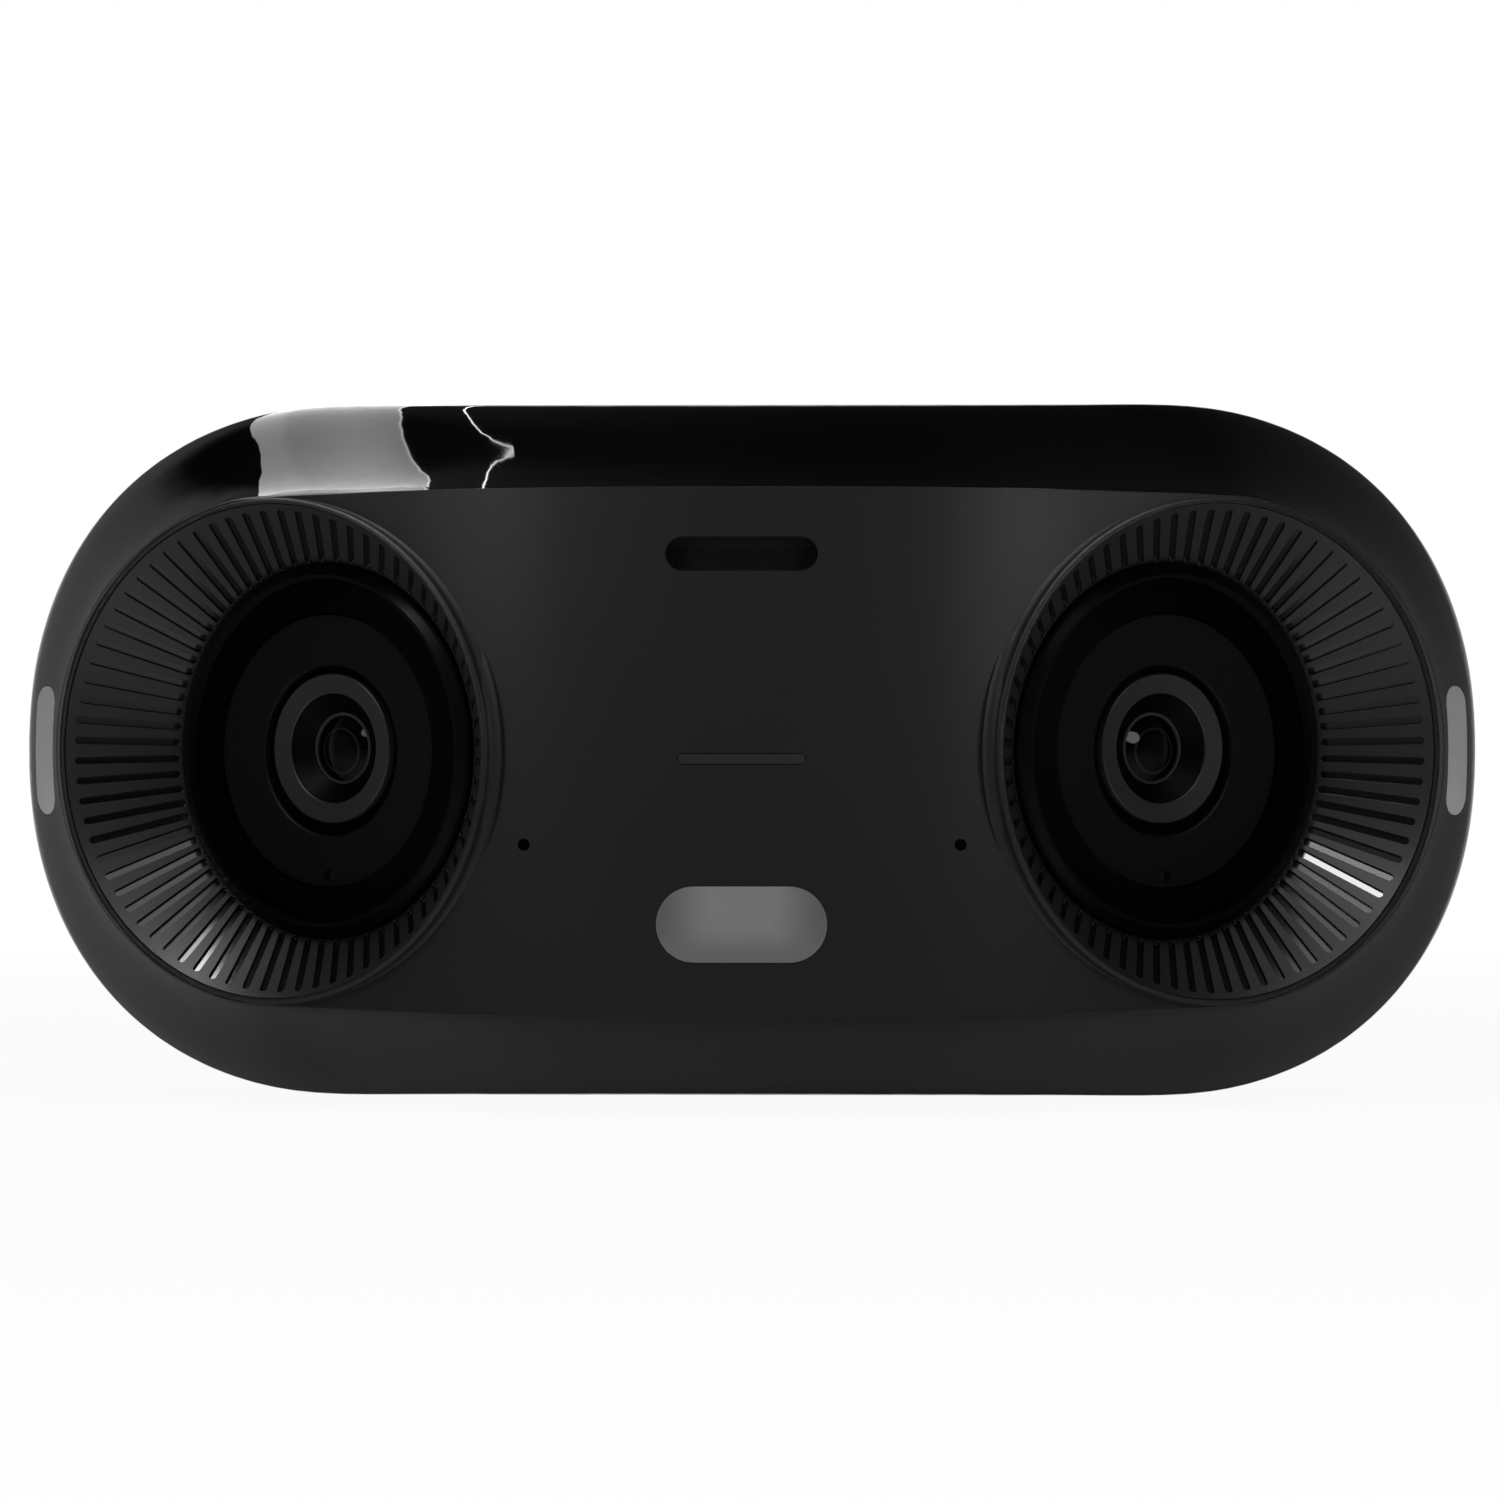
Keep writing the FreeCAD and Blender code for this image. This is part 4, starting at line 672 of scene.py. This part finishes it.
class CAMERA_OT_funnels(bpy.types.Operator):
    """Make the two funnels with their radial slots: satin ribs between glossy grooves"""
    bl_idname = "camera_look.funnels"
    bl_label = "Slotted funnels"

    def execute(self, context):
        look = context.scene.camera_look
        ribs = grained(
            "satin_funnel_rib", look.funnel_colour, look.funnel_roughness, 0.00018, 0.000003,
            spec=0.38)
        grooves = polished("gloss_funnel_groove", look.groove_colour, 0.14)
        for word, side in (("right", 1), ("left", -1)):
            piece = funnel_piece("slotted_funnel_" + word, side, look.groove_width, ribs, grooves)
            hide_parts("funnel_" + word)
            paint(ribs, "funnel_" + word)
        return {"FINISHED"}


class CAMERA_OT_eyes(bpy.types.Operator):
    """Finish every ring, plate and glass of the two eyes"""
    bl_idname = "camera_look.eyes"
    bl_label = "Eyes"

    def execute(self, context):
        for piece, label, shade, roughness, spec in (
                ("rim_ring", "rim_black", 0.002, 0.3, 0.06),
                ("eye_dish", "dish_black", 0.0004, 0.5, 0.03),
                ("eye_plate", "satin_plate", 0.0015, 0.5, 0.1),
                ("lens_ring", "satin_lens_ring", 0.007, 0.45, 0.4),
                ("lens_barrel", "barrel_black", 0.0004, 0.45, 0.05),
                ("lens_retainer", "retainer_grey", 0.012, 0.3, 0.5)):
            paint(turned(label, grey(shade), roughness, spec), *both(piece))
        paint(coated("coated_front_glass"), *both("lens_element"))
        paint(
            clear("filter_glass", (0.25, 0.1, 0.2, 1.0), 0.02, 0.8, (0.1, 0.2, 0.3, 1.0)),
            *both("filter_panes"))
        paint(clear("tinted_light_pipe", grey(0.02), 0.05, 0.9), "light_pipes")
        paint(
            grained("holder_plastic", grey(0.012), 0.55),
            *both("lens_holder"), *both("filter_frame"))
        paint(circuit("sensor_board_mask", -1.0, 1.0), *both("sensor_board"))
        paint(polished("image_sensor_package", grey(0.02), 0.15), *both("image_sensor"))
        paint(metal("small_steel_screws", grey(0.5), 0.3), "sensor_screws")
        return {"FINISHED"}


class CAMERA_OT_front_details(bpy.types.Operator):
    """Finish the sensor windows, the status light, the sound mesh and what sits behind them"""
    bl_idname = "camera_look.front_details"
    bl_label = "Windows, light and mesh"

    def execute(self, context):
        look = context.scene.camera_look
        low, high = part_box("front_window")
        # The panel's sensor window gets painted shade at its sides and below its middle.
        paint(
            lenslets(
                "milky_sensor_window", look.window_colour, 0.5, WINDOW_SHADE_REACH,
                (low[2] + high[2]) / 2),
            "front_window")
        paint(lenslets("milky_end_window", look.end_window_colour, 0.5), *both("end_window"))
        paint(grained("light_guide_grey", grey(0.008), 0.4, 0.00015, 0.000003), "status_light")
        paint(woven("woven_sound_mesh", grey(0.0045), look.mesh_pitch), "sound_mesh")
        paint(grained("speaker_cone", grey(0.015), 0.7), "speaker")
        paint(metal("sensor_can", grey(0.55), 0.28), "front_sensor", *both("end_sensor"))
        paint(grained("microphone_rubber", grey(0.012), 0.8), "microphones")
        return {"FINISHED"}


class CAMERA_OT_inside(bpy.types.Operator):
    """Finish the board, the frame, the cells and the other inner pieces"""
    bl_idname = "camera_look.inside"
    bl_label = "Inside"

    def execute(self, context):
        low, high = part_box("main_board")
        paint(circuit("main_board_mask", low[1], high[1]), "main_board")
        paint(metal("board_steel_screws", grey(0.55), 0.3), "board_screws")
        paint(metal("plain_aluminium", grey(0.7), 0.35, 900.0), "heat_spreader")
        paint(
            grained("inner_black_plastic", grey(0.02), 0.6, 0.0003),
            "mid_frame", "battery_holder")
        paint(sleeve("cell_sleeve", (0.02, 0.1, 0.3, 1.0)), "battery_cells")
        paint(metal("antenna_copper", (0.7, 0.4, 0.25, 1.0), 0.3), "antennas")
        return {"FINISHED"}


class CAMERA_OT_rear(bpy.types.Operator):
    """Finish the mounting insert, the screws and the service bay"""
    bl_idname = "camera_look.rear"
    bl_label = "Rear"

    def execute(self, context):
        look = context.scene.camera_look
        paint(metal("machined_brass", (0.68, 0.5, 0.24, 1.0), 0.28), "thread_insert")
        paint(metal("black_oxide_screw", grey(0.06), 0.35), "case_screws")
        paint(
            grained("service_door_black", look.cover_colour, 0.5, 0.0003, 0.00002),
            "service_door", "service_tray")
        paint(metal("door_pin_steel", grey(0.6), 0.2), "door_pin")
        paint(grained("door_seal_rubber", grey(0.012), 0.8), "door_seal")
        paint(circuit("port_board_mask", -1.0, 1.0), "port_board")
        paint(metal("socket_steel", grey(0.6), 0.25), "charging_socket", "card_socket")
        paint(grained("grey_button", grey(0.12), 0.5), "reset_button")
        missing = set(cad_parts) - PAINTED
        if missing:
            raise RuntimeError("nodes without a material: " + ", ".join(sorted(missing)))
        return {"FINISHED"}


# Studio

# Half the floor's side, its gap under the object, and the share of real light near the object.
FLOOR_HALF = 4.0
FLOOR_GAP = 0.0002
FLOOR_LIGHT = 0.06

# Width of the camera's frame in millimetres.
FRAME_WIDTH = 36.0

# The dim room: brightness to the left, to the right, at the foot, at the foot of the front and
# anywhere; the share of the sides' light that is left in front; and the share of white that
# gloss shows when it faces level to the rear.
ROOM_LEFT = 0.62
ROOM_RIGHT = 0.38
ROOM_FOOT = 0.2
ROOM_FRONT_FOOT = 1.3
ROOM_EVEN = 0.008
ROOM_FRONT_SHARE = 0.12
REAR_WHITE = 0.6

# Outline of the card that lies over the left shoulder, and the run of the thin line of light
# beside it: X and Y in millimetres at the cards' height. Only the object's gloss shows them.
CARD_HEIGHT = 75.0
CARD_EDGE = (
    (-54.5, -30.0), (-54.6, -10.5), (-54.0, -7.0), (-53.6, -3.0), (-53.0, 2.0), (-53.0, 10.0),
    (-53.5, 25.0), (-54.5, 60.0), (-56.0, 260.0))
CARD_FAR_SIDE = (
    (-96.0, 260.0), (-82.5, 100.0), (-81.0, 40.0), (-81.5, 10.0), (-82.0, 0.0), (-82.0, -9.0),
    (-81.0, -13.0), (-80.5, -30.0))
SIDE_LINE = (
    (-46.0, 110.0), (-44.8, 50.0), (-44.0, 25.0), (-43.2, 8.0), (-42.7, 0.0), (-42.0, -4.5),
    (-40.8, -6.6), (-39.0, -7.6), (-37.4, -8.0))


def lamp(name, size, place, aim, radiance, diffuse=True, glossy=True, shape="RECTANGLE"):
    """Flat lamp; its radiance, in W per square metre and steradian, is that of a rectangle."""
    data = bpy.data.lights.new(name, "AREA")
    data.shape = shape
    data.size = size[0]
    data.size_y = size[1]
    data.energy = radiance * math.pi * size[0] * size[1]
    item = bpy.data.objects.new(name, data)
    bpy.context.collection.objects.link(item)
    item.location = place
    item.rotation_euler = (Vector(aim) - Vector(place)).to_track_quat("-Z", "Y").to_euler()
    item.visible_camera = False
    item.visible_diffuse = diffuse
    item.visible_glossy = glossy


def outline_face(made, points):
    """One face inside a closed run of points."""
    made.faces.new([made.verts.new(mm(*point, CARD_HEIGHT)) for point in points])


def strip_faces(made, points, width):
    """Narrow strip of faces along a run of points."""
    pairs = []
    for index, point in enumerate(points):
        before = Vector(points[max(index - 1, 0)])
        after = Vector(points[min(index + 1, len(points) - 1)])
        along = (after - before).normalized()
        across = Vector((-along.y, along.x)) * width / 2
        pairs.append([
            made.verts.new(mm(*(Vector(point) + across * way), CARD_HEIGHT)) for way in (1, -1)])
    for first, second in zip(pairs, pairs[1:]):
        made.faces.new((first[0], second[0], second[1], first[1]))


def card(name, strength, points, width=None, shade=None):
    """Glowing card that only gloss shows: a closed outline or, of a given width, a strip."""
    made = bmesh.new()
    if width is None:
        outline_face(made, points)
    else:
        strip_faces(made, points, width)
    mesh = bpy.data.meshes.new(name)
    made.to_mesh(mesh)
    made.free()
    item = bpy.data.objects.new(name, mesh)
    bpy.context.collection.objects.link(item)
    item.visible_camera = False
    item.visible_shadow = False
    item.visible_diffuse = False
    item.visible_transmission = False
    finish = Finish(name)
    colour = shade(finish) if shade else grey(1.0)
    finish.show(finish.node("ShaderNodeEmission", {}, {"Color": colour, "Strength": strength}))
    mesh.materials.append(finish.owner)


def card_shade(finish):
    """Lighter away from the edge, and lightest along the far side."""
    across = finish.axes()[0]
    inner = finish.mix_colours(finish.smooth(across, -0.052, -0.063), grey(0.55), grey(0.85))
    return finish.mix_colours(finish.smooth(across, -0.071, -0.0745), inner, grey(1.0))


class CAMERA_OT_stage(bpy.types.Operator):
    """Set the floor, the lamps, the world and the camera"""
    bl_idname = "camera_look.stage"
    bl_label = "Studio"

    def execute(self, context):
        self.set_camera(context)
        self.set_floor(context)
        self.set_world(context)
        card("overhead_card", 2.2, CARD_EDGE + CARD_FAR_SIDE, shade=card_shade)
        card("overhead_edge", 2.8, CARD_EDGE, 0.35)
        card("overhead_line", 6.0, SIDE_LINE, 0.24)
        lamp("overhead_front", (1.0, 0.9), (0.0, -0.45, 0.8), (0.0, -0.45, 0.0), 2.0)
        lamp(
            "front_fill", (0.8, 0.5), (0.0, -1.3, 0.25), (0.0, -0.05, 0.0), 1.0, glossy=False)
        lamp(
            "low_front", (0.6, 0.3), (0.0, -0.45, -0.62), (0.0, -0.05, 0.0), 16.0, glossy=False)
        lamp(
            "left_groove_light", (0.26, 0.2), (-0.17, -0.04, 0.8), (-0.07, -0.05, 0.0), 18.0,
            diffuse=False)
        lamp(
            "right_groove_light", (0.14, 0.14), (-0.34, -0.56, 0.8), (0.09, -0.05, 0.0), 25.0,
            diffuse=False)
        lamp(
            "left_sheen", (0.05, 0.04), (-0.10, -0.145, 0.055), (-0.03, -0.06, 0.03), 4.5,
            shape="ELLIPSE")
        lamp(
            "right_sheen", (0.05, 0.04), (0.118, -0.144, 0.037), (0.034, -0.06, 0.016), 5.5,
            shape="ELLIPSE")
        return {"FINISHED"}

    def set_camera(self, context):
        look = context.scene.camera_look
        target = Vector((0.0, -look.widest_section, 0.0))
        direction = Vector((
            math.sin(look.camera_azimuth) * math.cos(look.camera_elevation),
            -math.cos(look.camera_azimuth) * math.cos(look.camera_elevation),
            math.sin(look.camera_elevation)))
        data = bpy.data.cameras.new("viewpoint")
        data.lens = look.camera_lens
        data.sensor_width = FRAME_WIDTH
        item = bpy.data.objects.new("viewpoint", data)
        context.collection.objects.link(item)
        item.location = target + direction * look.camera_distance
        item.rotation_euler = (-direction).to_track_quat("-Z", "Y").to_euler()
        context.scene.camera = item
        context.scene.view_settings.view_transform = "Standard"

    def set_floor(self, context):
        """White to the camera, with a share of real light near the object that shows its shadow."""
        mesh = bpy.data.meshes.new("floor")
        made = bmesh.new()
        bmesh.ops.create_grid(made, x_segments=8, y_segments=8, size=FLOOR_HALF)
        made.to_mesh(mesh)
        made.free()
        floor = bpy.data.objects.new("floor", mesh)
        context.collection.objects.link(floor)
        floor.location = (0.0, 0.0, cad_box[0][2] - FLOOR_GAP)
        floor.visible_glossy = False
        floor.visible_diffuse = False
        floor.visible_shadow = False
        finish = Finish("pale_floor")
        grain = finish.noise(300.0, 3.0)
        finish.set(Base_Color=finish.mix_colours(grain, grey(0.78), grey(0.82)), Roughness=0.9)
        path = finish.path("Is Camera Ray") + finish.path("Is Transmission Ray")
        glow = finish.node("ShaderNodeEmission", {}, {"Color": grey(1.0), "Strength": 1.0})
        reach = finish.node(
            "ShaderNodeVectorMath", {"operation": "LENGTH"}, {0: finish.place()}, "Value")
        far = finish.smooth(reach, 0.15, 0.6)
        white = path * ((1.0 - FLOOR_LIGHT) + far * FLOOR_LIGHT)
        surface = Flow(finish, finish.shader.outputs[0])
        finish.show(finish.node("ShaderNodeMixShader", {}, {0: white, 1: surface, 2: glow}))
        mesh.materials.append(finish.owner)

    def set_world(self, context):
        """White to the camera and through glass; else a dim room, lighter at its sides and foot.

        Gloss that faces level to the rear shows some of the white too, as in the photograph.
        """
        world = Finish("studio_world", context.scene.world or bpy.data.worlds.new("studio_world"))
        context.scene.world = world.owner
        across, along, up = world.axes(world.node("ShaderNodeTexCoord", output="Generated"))
        left = world.maths("MAXIMUM", across * -1.0, 0.0)
        right = world.maths("MAXIMUM", across, 0.0)
        above = world.maths("MAXIMUM", up, 0.0)
        below = world.maths("MAXIMUM", up * -1.0, 0.0)
        front = world.maths("MAXIMUM", along * -1.0, 0.0)
        behind = world.smooth(along, -0.2, 0.3)
        ceiling = 1.0 - world.smooth(up, 0.6, 0.74)
        room = left ** 1.6 * ROOM_LEFT * ceiling + right ** 1.6 * ROOM_RIGHT * (1.0 - above * 0.6)
        room = room * (ROOM_FRONT_SHARE + behind * (1.0 - ROOM_FRONT_SHARE))
        room = room + below ** 2.5 * ROOM_FOOT + below * front * ROOM_FRONT_FOOT + ROOM_EVEN
        level = 1.0 - world.smooth(abs(up), 0.15, 0.3)
        rear = world.path("Is Glossy Ray") * world.smooth(along, 0.6, 0.95) * level * REAR_WHITE
        white = world.path("Is Camera Ray") + world.path("Is Transmission Ray") + rear
        colour = world.mix_colours(world.maths("MINIMUM", white, 1.0), room, grey(1.0))
        world.feed(world.tree.nodes["Background"].inputs["Color"], colour)


class CAMERA_PT_panel(bpy.types.Panel):
    """Sidebar list of the camera's steps and settings"""
    bl_idname = "CAMERA_PT_look"
    bl_label = "Security camera"
    bl_space_type = "VIEW_3D"
    bl_region_type = "UI"
    bl_category = "Camera"

    def draw(self, context):
        for step in STEPS:
            self.layout.operator(step.bl_idname)
        for name in CameraLook.__annotations__:
            self.layout.prop(context.scene.camera_look, name)


STEPS = (
    CAMERA_OT_casing, CAMERA_OT_funnels, CAMERA_OT_eyes, CAMERA_OT_front_details,
    CAMERA_OT_inside, CAMERA_OT_rear, CAMERA_OT_stage)
CLASSES = (CameraLook,) + STEPS + (CAMERA_PT_panel,)


def register():
    for item in CLASSES:
        bpy.utils.register_class(item)
    bpy.types.Scene.camera_look = bpy.props.PointerProperty(type=CameraLook)


def unregister():
    del bpy.types.Scene.camera_look
    for item in reversed(CLASSES):
        bpy.utils.unregister_class(item)


def main():
    register()
    bpy.ops.camera_look.casing()
    bpy.ops.camera_look.funnels()
    bpy.ops.camera_look.eyes()
    bpy.ops.camera_look.front_details()
    bpy.ops.camera_look.inside()
    bpy.ops.camera_look.rear()
    bpy.ops.camera_look.stage()


if __name__ == "__main__":
    main()
